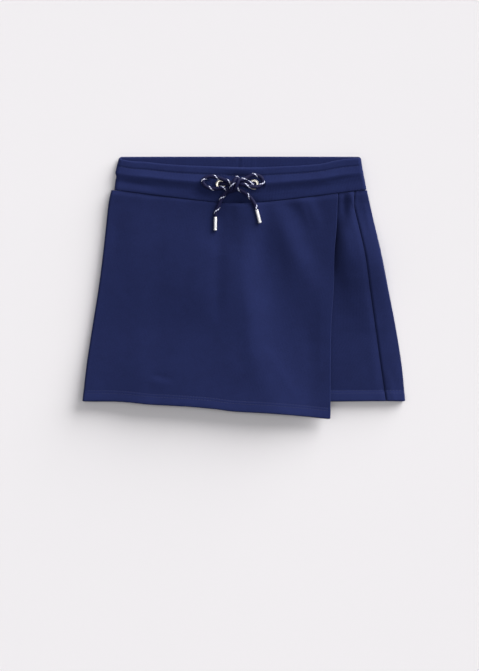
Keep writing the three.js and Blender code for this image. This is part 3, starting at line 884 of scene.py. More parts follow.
def bump(tree: Tree, strength: float, distance: float, height: Socket) -> Socket:
    """A bumped normal. The distance is in millimetres."""
    inputs = {"Strength": strength, "Distance": distance * MM, "Height": height}
    return add(tree, "Bump", inputs).outputs[0]


def new_material(name: str) -> tuple[bpy.types.Material, Tree, bpy.types.Node]:
    """An empty material with one shader wired to its output: the material, its tree and the shader.

    Args:
        name: Its name.

    Returns:
        The material, its node tree and its shader.
    """
    material = bpy.data.materials.new(name)
    material.use_nodes = True
    tree = material.node_tree
    tree.nodes.clear()
    shader = add(tree, "BsdfPrincipled")
    add(tree, "OutputMaterial", {"Surface": shader.outputs["BSDF"]})
    return material, tree, shader


class Knit(Enum):
    """How deep the grooves between a knit's wales are: soft in a sweatshirt, deeper in a rib."""

    PLAIN = 5.0
    RIB = 9.0


@dataclass(frozen=True)
class KnitFinish:
    """Brushed-back cotton sweatshirt knit, piece-dyed navy.

    Its face is dull and a little hairy, so it has no gloss, and a faint bloom where it turns away.
    The loops lie in upright wales of small V shapes. Real wales are 0.8 mm apart and too fine to
    show, so they are drawn twice as coarse.
    """

    name: str
    dark: str
    light: str
    knit: Knit = Knit.PLAIN
    wale: float = 1.6
    course: float = 1.2
    slant: float = 1.2  # how far a V's arms slope, in courses for each wale
    fuzz: float = 3.0
    fibres: float = 900.0  # lumps to a metre: 1.1 mm each
    mottle: float = 55.0  # 18 mm each
    dye: float = 700.0  # 1.4 mm each
    loop_height: float = 0.1
    sheen: float = 0.12

    def make(self) -> bpy.types.Material:
        """Builds the material: mottled dye, V-shaped loops and fine fibres, on the cloth's coordinates.

        Returns:
            The material.
        """
        material, tree, shader = new_material(self.name)
        place = add(tree, "UVMap", uv_map="cloth").outputs["UV"]
        axes = add(tree, "SeparateXYZ", {0: place}).outputs
        wales = maths(tree, "FRACT", maths(tree, "MULTIPLY", axes["X"], 1.0 / (self.wale * MM)))
        lean = maths(tree, "ABSOLUTE", maths(tree, "SUBTRACT", wales, 0.5))
        courses = maths(tree, "MULTIPLY", axes["Y"], 1.0 / (self.course * MM))
        chevrons = maths(tree, "MULTIPLY_ADD", lean, self.slant, courses)
        loops = maths(tree, "SINE", maths(tree, "MULTIPLY", chevrons, 2.0 * math.pi))
        height = maths(tree, "MULTIPLY_ADD", lean, self.knit.value, loops)
        fuzzy = maths(tree, "MULTIPLY_ADD", noise(tree, self.fibres, 3.0, 0.7), self.fuzz, height)
        clouds, specks = noise(tree, self.mottle, 4.0, 0.6), noise(tree, self.dye, 2.0, 0.8)
        dye = maths(tree, "MULTIPLY_ADD", clouds, 0.6, specks)
        share = add(tree, "MapRange", {"From Min": 0.55, "From Max": 1.05, "Value": dye}).outputs[0]
        feed(shader, {
            "Base Color": blend(tree, share, linear(self.dark), linear(self.light)),
            "Normal": bump(tree, 0.22, self.loop_height, fuzzy),
            "Roughness": 0.95,
            "Specular IOR Level": 0.08,
            "Sheen Weight": self.sheen,
            "Sheen Roughness": 0.55,
            "Sheen Tint": linear("#8f9ed8"),
        })
        return material


@dataclass(frozen=True)
class BraidFinish:
    """Round polyester braid, near-black navy, with one white tracer yarn winding round it.

    Filament yarn gives it a slight silky gleam on each plait. The tracer shows as short slanting
    ticks, cut into dashes where other yarns cross it.
    """

    name: str = "polyester_drawcord_braid"
    dark: str = "#0a0b26"
    light: str = "#191a46"
    tracer: str = "#d8dcf4"
    tracer_width: float = 0.1  # share of the way round the cord
    blur: float = 0.008
    stagger: float = 0.075  # how far it winds on within a dash, in turns
    dash: float = 2.2
    yarn: float = 1100.0  # lumps to a metre: 0.9 mm each

    def make(self) -> bpy.types.Material:
        """Builds the material: the tracer lies where the first coordinate is half way between turns.

        Returns:
            The material.
        """
        material, tree, shader = new_material(self.name)
        axes = add(tree, "SeparateXYZ", {0: add(tree, "UVMap", uv_map="cloth").outputs["UV"]}).outputs
        around = maths(tree, "MULTIPLY", axes["X"], 1.0 / MM)
        beat = maths(tree, "FRACT", maths(tree, "MULTIPLY", axes["Y"], 1.0 / (self.dash * MM)))
        turns = maths(tree, "FRACT", maths(tree, "MULTIPLY_ADD", beat, self.stagger, around))
        off = maths(tree, "ABSOLUTE", maths(tree, "SUBTRACT", turns, 0.5))
        half = self.tracer_width / 2
        edge = {"From Min": half + self.blur, "From Max": half - self.blur}
        yarn = add(tree, "MapRange", edge | {"Value": off}).outputs[0]
        shown = add(tree, "MapRange", {"From Min": 0.97, "From Max": 0.86, "Value": beat}).outputs[0]
        yarns = noise(tree, self.yarn, 2.0)
        plain = blend(tree, yarns, linear(self.dark), linear(self.light))
        feed(shader, {
            "Base Color": blend(tree, maths(tree, "MULTIPLY", yarn, shown), plain, linear(self.tracer)),
            "Normal": bump(tree, 0.4, 0.15, yarns),
            "Roughness": 0.6,
            "Specular IOR Level": 0.15,
        })
        return material


@dataclass(frozen=True)
class MetalFinish:
    """Small stamped or drawn trim, plated and tumbled bright, with faint handling marks in its gloss."""

    name: str
    colour: str
    roughness: float
    mark: float = 600.0  # lumps to a metre: 1.7 mm each

    def make(self) -> bpy.types.Material:
        """Builds the material: one plated colour, its roughness varied a little by noise.

        Returns:
            The material.
        """
        material, tree, shader = new_material(self.name)
        marks = noise(tree, self.mark, 3.0)
        span = {"To Min": self.roughness * 0.8, "To Max": self.roughness * 1.3}
        feed(shader, {
            "Base Color": linear(self.colour),
            "Metallic": 1.0,
            "Roughness": add(tree, "MapRange", span | {"Value": marks}).outputs[0],
            "Normal": bump(tree, 0.05, 0.05, marks),
        })
        return material


@dataclass(frozen=True)
class ThreadFinish:
    """Spun polyester sewing thread, dyed to match: it looks lighter than the knit, as it stands up."""

    name: str = "polyester_thread"
    dark: str = "#1c2449"
    light: str = "#262e5a"
    twist: float = 1500.0  # lumps to a metre: 0.7 mm each

    def make(self) -> bpy.types.Material:
        """Builds the material: two near shades, mixed by a fine noise along the thread.

        Returns:
            The material.
        """
        material, tree, shader = new_material(self.name)
        colour = blend(tree, noise(tree, self.twist, 1.0), linear(self.dark), linear(self.light))
        feed(shader, {"Base Color": colour, "Roughness": 0.6})
        return material


@dataclass(frozen=True)
class BoardFinish:
    """Matt painted board, plain white: it scatters all light and shows only a faint grain."""

    name: str = "matt_white_board"
    dark: str = "#eeecee"
    light: str = "#efedef"
    cloud: float = 3.0  # lumps to a metre

    def make(self) -> bpy.types.Material:
        """Builds the material: near-white paint with a very weak cloudiness.

        Returns:
            The material.
        """
        material, tree, shader = new_material(self.name)
        colour = blend(tree, noise(tree, self.cloud, 2.0), linear(self.dark), linear(self.light))
        feed(shader, {"Base Color": colour, "Roughness": 1.0, "Specular IOR Level": 0.0})
        return material


# -----------------------------------------------------------------------------
# Sewing
# -----------------------------------------------------------------------------


@dataclass
class Stitching:
    """Rows of stitches, gathered while the pieces are made and joined into one piece at the end."""

    long: float = 2.3
    pitch: float = 3.1
    thick: float = 0.4
    dip: float = 0.12  # how far a stitch's ends go down into the cloth
    sides: int = 6
    stations: int = 7
    meshes: list[Mesh] = field(default_factory=list)

    def sew(self, x: Array, y: Array, z: Array) -> None:
        """Lays stitches along a line: small spindles, longer than they are thick, one for each pitch.

        A spindle's radius follows a half sine along it, and it dips in at both ends.

        Args:
            x: Where the line lies on the cloth, to the right.
            y: And up.
            z: And off the surface.
        """
        line = np.stack([x, y, z + STAND], axis=-1)
        run = arc(line[None], 1)[0]
        count = max(2, int(run[-1] / self.pitch))
        middle = (np.arange(count) + 0.5) * run[-1] / count
        at = on_line(line, run, middle)
        way = unit(on_line(line, run, middle + 0.5) - on_line(line, run, middle - 0.5))
        side = unit(np.cross([0.0, 0.0, 1.0], way))
        frames = np.stack([way, side, np.cross(way, side)], axis=1)
        t = np.linspace(0.0, 1.0, self.stations)
        turn = 2.0 * np.pi * np.arange(self.sides) / self.sides
        swell = 0.5 * self.thick * np.maximum(np.sin(np.pi * t) ** 0.6, 0.05)
        spindle = np.stack(
            np.broadcast_arrays(
                ((t - 0.5) * self.long)[:, None],
                swell[:, None] * np.cos(turn),
                swell[:, None] * np.sin(turn) - self.dip * np.square(2.0 * t - 1.0)[:, None],
            ),
            axis=-1,
        ).reshape(-1, 3)
        points = at[:, None] + np.einsum("pk,nkc->npc", spindle, frames)
        faces = grid_faces(len(t), len(turn), ring=True)
        each = len(spindle)
        faces = (faces[None] + each * np.arange(count)[:, None, None]).reshape(-1, 4)
        self.meshes.append(Mesh(points.reshape(-1, 3), faces, np.zeros((len(faces), 4, 2))))

    def build(self, name: str, material: bpy.types.Material) -> bpy.types.Object:
        """Joins all rows into one piece on the garment."""
        return add_part(name, reduce(Mesh.joined, self.meshes), material)


# -----------------------------------------------------------------------------
# Panels
# -----------------------------------------------------------------------------


@dataclass
class Panel:
    """A cut piece of knit: a wall of cloth in its place, with what the cut was before it was laid."""

    lay: Lay
    name: str
    flat: tuple[float, float]  # metres
    area: float | None = None  # square metres
    rests_on: tuple[str, ...] = ()

    def shape(self) -> Mesh:
        """Works out the wall. Each panel has its own."""
        raise NotImplementedError

    def build(self, material: bpy.types.Material) -> bpy.types.Object:
        """Makes the piece and puts it in its solid's place.

        Args:
            material: The knit.

        Returns:
            The object.
        """
        piece = add_part(self.name + "_cloth", self.shape(), material, [self.name])
        return piece

    def sew_hem(self, thread: Stitching, ends: tuple[Line, Line], count: int) -> None:
        """Sews the twin rows of a hem of the shorts on the legs' face.

        Args:
            thread: What the stitches are gathered in.
            ends: Upright lines that the rows run between.
            count: Number of points in a row.
        """
        plan = self.lay.plan
        for up in self.lay.stitch_rows:
            level = np.array([plan.shorts_hem + up])
            x = np.linspace(ends[0](level)[0], ends[1](level)[0], count)
            y = plan.short_hem(x) + up
            thread.sew(x, y, self.lay.leg_face(x, y))


@dataclass
class WrapFlap(Panel):
    """The wrap flap: from the left side seam, over the left fold and across the front to its free edge."""

    def shape(self) -> Mesh:
        """A grid over the front whose left edge turns a quarter circle down to the side seam.

        Returns:
            The wall.
        """
        lay, plan = self.lay, self.lay.plan
        reach = plan.fold_reach
        left = plan.side("left")
        edges = Edges(lambda y: left(y) + reach, plan.side("free"), plan.flap_hem, plan.front_cut)
        front = graded(280.0, coarse=1.8, fine=0.35, reach=10.0)
        across = np.concatenate([np.linspace(-1.0, -0.1, 8), front])
        s, v = np.meshgrid(across, graded(240.0, coarse=1.9, fine=0.3, reach=30.0))
        x, y = edges.place(np.maximum(s, 0.0), v)
        z = lay.flap_face(x, y)
        turn = 0.5 * np.pi * np.minimum(s, 0.0)
        round_z = lerp(z / 2 + plan.seam_gap, z, np.cos(turn))
        face = np.stack([x + reach * np.sin(turn), y, np.where(s < 0.0, round_z, z)], axis=-1)
        up = y - plan.flap_hem(x)
        thickness = lay.cloth + lay.hem_extra * lay.on_hem(up) * smooth(s, 0.0, 0.03)
        edge = np.maximum(roundness(up, lay.hem_round), roundness(plan.side("free")(y) - x, 1.0))
        seams = roundness(plan.front_cut(x) - y, 0.6) * 0.35
        return cloth_wall(face, thickness, np.maximum(edge, seams))

    def sew(self, thread: Stitching) -> None:
        """Twin rows along the hem.

        Args:
            thread: What the stitches are gathered in.
        """
        plan = self.lay.plan
        x = np.linspace(-172.0, 94.0, 400)
        for up in self.lay.stitch_rows:
            y = plan.flap_hem(x) + up
            inside = (x > plan.side("left")(y) + 4.0) & (x < plan.side("free")(y) - 1.5)
            thread.sew(x[inside], y[inside], self.lay.flap_face(x, y)[inside])


@dataclass(kw_only=True)
class FrontLeg(Panel):
    """A front leg of the shorts, from one upright line to another: beside the flap, or hidden under it."""

    left: Line
    right: Line
    spacing: float = 1.5

    def shape(self) -> Mesh:
        """A grid between the two lines, the hem and the waist seam, at the height of the legs' face.

        Returns:
            The wall.
        """
        lay, plan = self.lay, self.lay.plan
        edges = Edges(self.left, self.right, plan.short_hem, plan.front_cut)
        across = graded(165.0, coarse=self.spacing, fine=0.35, reach=8.0)
        s, v = np.meshgrid(across, graded(225.0, coarse=1.3 * self.spacing, fine=0.3, reach=28.0))
        x, y = edges.place(s, v)
        face = np.stack([x, y, lay.leg_face(x, y)], axis=-1)
        up = y - plan.short_hem(x)
        thickness = lay.cloth + lay.hem_extra * lay.on_hem(up)
        side, top = roundness(self.right(y) - x, 1.5), roundness(plan.front_seam(x) - y, 0.6)
        seams = np.maximum(0.8 * side, 0.4 * top)
        return cloth_wall(face, thickness, np.maximum(roundness(up, lay.hem_round), seams))

    def sew(self, thread: Stitching) -> None:
        """Twin rows along the hem."""
        self.sew_hem(thread, (lambda y: self.left(y) + 3.0, lambda y: self.right(y) - 1.2), 200)


@dataclass
class BackLegLeft(Panel):
    """The left back leg: flat on the surface, its outer side rounding up to the seam on the left fold."""

    def shape(self) -> Mesh:
        """A flat grid, seen from below, whose outer edge turns a quarter circle up to the side seam.

        Returns:
            The wall.
        """
        lay, plan = self.lay, self.lay.plan
        reach = plan.fold_reach
        left = plan.side("left")
        edges = Edges(plan.inner(-1), lambda y: left(y) + reach, plan.level_hem, plan.back_cut)
        flat = graded(170.0, coarse=2.6, fine=0.5, reach=10.0)
        across = np.concatenate([flat, np.linspace(1.1, 2.0, 8)])
        s, v = np.meshgrid(across, graded(230.0, coarse=2.6, fine=0.4, reach=28.0))
        x, y = edges.place(np.minimum(s, 1.0), v)
        turn = 0.5 * np.pi * np.maximum(s - 1.0, 0.0)
        seam_z = lay.flap_base(x, y) / 2 - plan.seam_gap / 2
        face = np.stack([x - reach * np.sin(turn), y, seam_z * (1.0 - np.cos(turn))], axis=-1)
        up = y - plan.level_hem(x)
        thickness = lay.cloth + lay.hem_extra * lay.on_hem(up) * (1.0 - smooth(s, 0.97, 1.0))
        return cloth_wall(face, thickness, roundness(up, lay.hem_round))


@dataclass
class BackLegRight(Panel):
    """The right back leg: a strip on the front, then round the right fold and flat to the centre."""

    def shape(self) -> Mesh:
        """A grid in three parts: the strip, a half turn round the fold, and the flat part below.

        Returns:
            The wall.
        """
        lay, plan = self.lay, self.lay.plan
        reach = plan.fold_reach

        def fold(y: Array) -> Array:
            """Where the cloth starts to round under on the right."""
            return plan.side("right")(y) - reach

        side = plan.side("seam")
        strip = Edges(lambda y: side(y) + plan.seam_gap / 2, fold, plan.short_hem, plan.front_cut)
        under = Edges(fold, plan.inner(1), plan.short_hem, plan.back_cut)
        across = np.concatenate([
            graded(20.0, coarse=0.7, fine=0.3, reach=2.0),
            np.linspace(1.06, 1.94, 15),
            2.0 + graded(165.0, coarse=2.6, fine=0.5, reach=8.0),
        ])
        s, v = np.meshgrid(across, graded(230.0, coarse=1.9, fine=0.3, reach=28.0))
        top_x, top_y = strip.place(np.minimum(s, 1.0), v)
        low_x, low_y = under.place(np.maximum(s - 2.0, 0.0), v)
        turn = np.pi * np.clip(s - 1.0, 0.0, 1.0)
        below = smooth(s, 1.0, 2.0)
        y = lerp(top_y, low_y, below)
        z = lay.leg_face(top_x, top_y)
        x = np.where(s < 2.0, top_x, low_x) + reach * np.sin(turn)
        face = np.stack([x, y, np.where(s < 2.0, z / 2 * (1.0 + np.cos(turn)), 0.0)], axis=-1)
        up = y - plan.short_hem(x)
        round_fold = smooth(s, 0.85, 1.0) * (1.0 - smooth(s, 2.0, 2.03))
        thickness = lay.cloth + lay.hem_extra * lay.on_hem(up) * (1.0 - round_fold)
        seam = roundness(top_x - side(top_y), 1.5) * 0.8
        return cloth_wall(face, thickness, np.maximum(roundness(up, lay.hem_round), seam))

    def sew(self, thread: Stitching) -> None:
        """Twin rows along the hem of the strip."""
        seam, right = self.lay.plan.side("seam"), self.lay.plan.side("right")
        self.sew_hem(thread, (lambda y: seam(y) + 1.2, lambda y: right(y) - 3.2), 80)


# -----------------------------------------------------------------------------
# Waistband
# -----------------------------------------------------------------------------


@dataclass
class Waistband:
    """The folded elastic band: one flattened ring with soft channels, pressed flat round the eyelets."""

    plan: Plan
    eyelets: tuple[tuple[float, float], ...]
    height: float = 39.6
    wall: float = 3.6
    gap: float = 0.6
    seat: float = 1.5
    bore: float = 2.6
    pit: float = 2.4  # depth of the hole in an eyelet
    pressed: tuple[float, float] = (9.6, 13.0)  # flat this near an eyelet, and free this far off
    stitch_drop: float = 9.5
    stitch_groove: float = 0.4
    pucker: float = 0.16
    slow_wave: float = 0.22
    fold_steps: int = 17
    sides: Table = Table(
        ("rise", "left", "right"),
        (
            (0, -140.8, 136.3), (0.3, -139.6, 134.3), (0.42, -138.6, 133.3), (0.55, -139.4, 132.4),
            (1, -135.8, 130),
        ),
    )
    section: Table = Table(  # the face's height over the middle of the wall, from the top fold down
        ("drop", "out"),
        (
            (0, 1.3), (2.5, 1.65), (5, 1.8), (7.6, 1.85), (9, 1.6), (10.4, 1.75), (13, 2.6), (16, 3.7),
            (18.3, 4.5), (20.5, 4.15), (23.5, 2.85), (26.5, 1.85), (28.8, 1.5), (32, 1.65), (35.5, 1.95),
            (38, 1.85), (39.6, 1.35),
        ),
    )
    drawn: Table = Table(  # what the knot adds to the section at the middle, where it draws the band in
        ("drop", "out"),
        (
            (0, 0), (2.5, 1.3), (9, -0.6), (16, -2.8), (20, -2.1), (26, 2.9), (30, 2), (36, -0.7),
            (39.6, -2.3),
        ),
    )
    creases: tuple[Crease, ...] = (
        Crease((-139, 116.5), (-96, 110), 2.6, -0.6), Crease((128, 122), (92, 115.5), 2.4, -0.5),
        Crease((-60, 101), (-28, 97.5), 3, -0.3), Crease((30, 98.5), (62, 102), 3, -0.3),
    )

    @property
    def middle(self) -> float:
        """From the ring's mid plane to the middle of either wall."""
        return (self.wall + self.gap) / 2

    @property
    def axis(self) -> float:
        """Height of the mid plane over the surface."""
        return self.middle + self.wall / 2

    def away(self, x: Array, y: Array) -> Array:
        """Distance from the nearer eyelet's middle."""
        return np.minimum(*[np.hypot(x - ex, y - ey) for ex, ey in self.eyelets])

    def relief(self, x: Array, y: Array, drop: Array) -> Array:
        """The face over the middle of the wall: its channels and small folds, flat round the eyelets.

        Args:
            x: The points' x.
            y: Their y.
            drop: How far they lie below the top fold.

        Returns:
            Their heights, in millimetres.
        """
        sewn = bell(drop - self.stitch_drop, 3.4) + bell(drop - self.height, 6.0)
        waves = self.pucker * gathers(x) * sewn
        slow = self.slow_wave * slow_waves(1.7 * x, 0.6 * y + 40.0)
        groove = -self.stitch_groove * bell(drop - self.stitch_drop, 0.7)
        ends = smooth(np.minimum(x + 139.0, 133.0 - x), -4.0, 42.0)
        section = self.section.read("out", drop)
        channels = lerp(0.5 * section + 0.9, section, ends)
        knotted = self.drawn.read("out", drop) * bell(x - self.plan.waist_middle, 20.0)
        rolled = 0.7 * smooth(drop, 29.0, 37.0) * (1.0 - smooth(x, -112.0, -84.0))
        sunk = 1.3 * smooth(drop, 28.0, self.height) * bell(x - self.plan.waist_middle, 52.0)
        free = channels + knotted + rolled - sunk + waves + slow + groove + heights(self.creases, x, y)
        pressed = 1.0 - smooth(self.away(x, y), *self.pressed)
        return lerp(free, self.seat, pressed)

    def top(self, x: Array, y: Array) -> Array:
        """Height of the front's face over the surface.

        Args:
            x: The points' x.
            y: Their y.

        Returns:
            Their heights, in millimetres.
        """
        x, y = np.asarray(x, float), np.asarray(y, float)
        front_top = self.plan.front_top(x)
        drop = (front_top - y) / (front_top - self.plan.front_seam(x)) * self.height
        return self.axis + self.middle + self.relief(x, y, drop)

    def shape(self) -> Mesh:
        """The ring: its section goes along the front, round the right fold, back and round the left.

        Returns:
            The ring.
        """
        share_front = graded(270.0, coarse=0.85, fine=0.5, reach=6.0)
        share_back = graded(270.0, coarse=2.0, fine=0.6, reach=6.0)[::-1]
        turns = np.linspace(80.0, -80.0, self.fold_steps)
        share = np.concatenate(
            [share_front, np.ones(self.fold_steps), share_back, np.zeros(self.fold_steps)]
        )
        front, back = np.full(len(share_front), 90.0), np.full(len(share_back), -90.0)
        turn = np.radians(np.concatenate([front, turns, back, turns[::-1]]))
        down = self.height * graded(self.height, coarse=0.75, fine=0.12, reach=2.5)
        back_down = self.height * graded(self.height, coarse=1.3, fine=0.12, reach=2.5)[:0:-1]
        drop = np.concatenate([down, back_down])[None, :]
        outer = np.concatenate([np.ones(len(down)), np.zeros(len(back_down))])[None, :]
        share, turn = share[:, None], turn[:, None]
        up, sideways = np.sin(turn), np.cos(turn) * np.where(share > 0.5, 1.0, -1.0)
        rise = 1.0 - drop / self.height
        fold = self.middle + self.wall / 2
        fold_x = lerp(self.sides.read("left", rise) + fold, self.sides.read("right", rise) - fold, share)
        fold_y = lerp(self.plan.front_seam(fold_x), self.plan.front_top(fold_x), rise)
        crown = np.sqrt(1.0 - np.square(1.0 - np.clip(drop / 2.2, 0.0, 1.0)))
        foot = roundness(self.height - drop, 0.9) * (0.2 + 0.5 * smooth(fold_x, -122.0, -92.0))
        pit = 1.0 - smooth(self.away(fold_x, fold_y), self.bore - 0.4, self.bore + 0.9)
        bulge = self.relief(fold_x, fold_y, np.broadcast_to(drop, fold_x.shape)) - self.pit * pit
        flat = self.wall / 2 * (1.0 - 0.8 * foot)
        out = lerp(flat, bulge * (1.0 - foot) - 0.4 * foot, np.maximum(up, 0.0)) * crown
        broken = 0.7 + 0.3 * np.sin(drop / 1.9 + 0.7)
        back_seam = broken * (bell(fold_x + 3.8, 1.1) - bell(fold_x + 0.6, 1.9) * 0.7)
        puckers = 0.35 * gathers(1.2 * fold_x) * bell(fold_x - 10.0, 14.0)
        inside = (-self.wall / 2 + 1.2 * foot + (back_seam + puckers) * np.maximum(-up, 0.0)) * crown
        reach = self.middle + np.where(outer > 0.5, out, inside)
        x = fold_x + sideways * reach
        low = lerp(self.plan.back_seam(x), self.plan.back_top(x), rise)
        high = lerp(self.plan.front_seam(x), self.plan.front_top(x), rise)
        y = lerp(low, high, smooth(up, -1.0, 1.0))
        points = np.stack([x, y, self.axis + up * reach], axis=-1)
        count, size = x.shape
        faces = grid_faces(count + 1, size, ring=True) % (count * size)
        u = arc(np.concatenate([points[:, :1], points[:1, :1]]), 0)
        section = np.concatenate([drop[0], [0.0]])
        u, v = np.broadcast_arrays(u, -section[None, :])
        return Mesh(points.reshape(-1, 3), faces[:, ::-1], grid_corners(u, v)[:, ::-1])

    def build(self, material: bpy.types.Material) -> bpy.types.Object:
        """Makes the band in its solid's place.

        Args:
            material: The band's knit.

        Returns:
            The object.
        """
        piece = add_part("waistband_cloth", self.shape(), material, ["waistband"])
        return piece

    def sew(self, thread: Stitching) -> None:
        """One row under the top fold, across the front.

        Args:
            thread: What the stitches are gathered in.
        """
        x = np.linspace(-134.0, 127.5, 500)
        y = self.plan.front_top(x)
        y = y - self.stitch_drop / self.height * (y - self.plan.front_seam(x))
        thread.sew(x, y, self.top(x, y))


# -----------------------------------------------------------------------------
# Trim
# -----------------------------------------------------------------------------


@dataclass(frozen=True)
class Eyelet:
    """A pressed metal eyelet: a rounded flange on the band and a barrel through its outer knit."""

    name: str
    x: float
    y: float
    z: float
    outer: float = 5.75
    bore: float = 2.6
    barrel: float = 3.05
    depth: float = 2.0

    def build(self, material: bpy.types.Material) -> bpy.types.Object:
        """Turns the section: the flange's top is a half ellipse between the bore and the outer edge.

        Args:
            material: Its metal.

        Returns:
            The object.
        """
        turn = np.linspace(0.0, np.pi, 25)
        middle, half = (self.outer + self.bore) / 2, (self.outer - self.bore) / 2
        crown = np.stack([middle + half * np.cos(turn), 0.2 + 0.95 * np.sin(turn) ** 0.85], axis=-1)
        under = np.array([[self.bore, -self.depth], [self.barrel, -self.depth], [self.barrel, 0.0]])
        loop = np.concatenate([under, [[self.outer - 0.15, 0.0]], crown, under[:1]])
        ring = lathe(loop, 72)
        ring.points += np.array([self.x, self.y, self.z])
        return add_part(self.name + "_ring", ring, material, [self.name])


def through_points(points: Array, step: float) -> Array:
    """A smooth curve through points, with even steps along it.

    Between two points it is the centripetal Catmull-Rom cubic, whose knots are the square roots of
    the distances. Then a short bell-shaped average takes out what is left of its corners.

    Args:
        points: The points, in order.
        step: Distance between the curve's points.

    Returns:
        The curve's points.
    """
    ends = np.concatenate([[2 * points[0] - points[1]], points, [2 * points[-1] - points[-2]]])
    gaps = np.sqrt(np.linalg.norm(np.diff(ends, axis=0), axis=1))
    knots = np.concatenate([[0.0], np.cumsum(gaps)])
    q = np.linspace(0.0, len(points) - 1.0, 60 * len(points))
    i = np.minimum(q.astype(int), len(points) - 2)
    p = [ends[i + k] for k in range(4)]
    t = [knots[i + k][:, None] for k in range(4)]
    at = lerp(t[1], t[2], (q - i)[:, None])

    def mix(a: Array, b: Array, ta: Array, tb: Array) -> Array:
        """Mix of two points by where `at` lies between their knots."""
        return a + (b - a) * (at - ta) / (tb - ta)

    first = [mix(p[k], p[k + 1], t[k], t[k + 1]) for k in range(3)]
    second = [mix(first[k], first[k + 1], t[k], t[k + 2]) for k in range(2)]
    curve = mix(second[0], second[1], t[1], t[2])
    run = arc(curve[None], 1)[0]
    even = np.linspace(0.0, run[-1], int(run[-1] / step) + 1)
    line = on_line(curve, run, even)
    reach = int(1.5 / step)
    weight = bell(np.arange(-reach, reach + 1), 0.5 * reach)
    weight /= weight.sum()
    ahead = line[:1] + (line[:1] - line[reach:0:-1])
    behind = line[-1:] + (line[-1:] - line[-2 : -reach - 2 : -1])
    padded = np.concatenate([ahead, line, behind])
    return np.stack([np.convolve(padded[:, k], weight, mode="valid") for k in range(3)], axis=-1)


@dataclass(frozen=True)
class Aglet:
    """A metal tip on a tail's end: a drawn tube with rolled lips, lying in line with the tail."""

    name: str
    tail_end: Place
    way: Place
    gap: float = 0.1
    radius: float = 2.0
    length: float = 15.0
    lip: float = 0.35

    def build(self, material: bpy.types.Material) -> bpy.types.Object:
        """Turns the tip: a straight side between quarter-round lips, with a shallow groove near the top.

        Args:
            material: Its metal.

        Returns:
            The object.
        """
        turn = np.linspace(0.0, 0.5 * np.pi, 7)
        inward, upward = self.lip * (1 - np.sin(turn)), self.lip * (1 - np.cos(turn))
        foot = np.stack([self.radius - inward, upward], axis=-1)
        side_at = np.linspace(0.9, self.length - 0.9, 33)
        side = np.stack([self.radius - 0.16 * bell(side_at - 2.0, 0.45), side_at], axis=-1)
        head = np.stack([foot[::-1, 0], self.length - foot[::-1, 1]], axis=-1)
        profile = np.concatenate([[[0.0, 0.0]], foot, side, head, [[0.0, self.length]]])
        tip = lathe(profile, 56)
        way = unit(np.array(self.way))
        side_way = unit(np.cross(way, [0.0, 0.0, 1.0]))
        start = np.array(self.tail_end) + self.gap * way
        tip.points = tip.points @ np.stack([side_way, np.cross(way, side_way), way]) + start
        return add_part(self.name + "_tip", tip, material, [self.name])


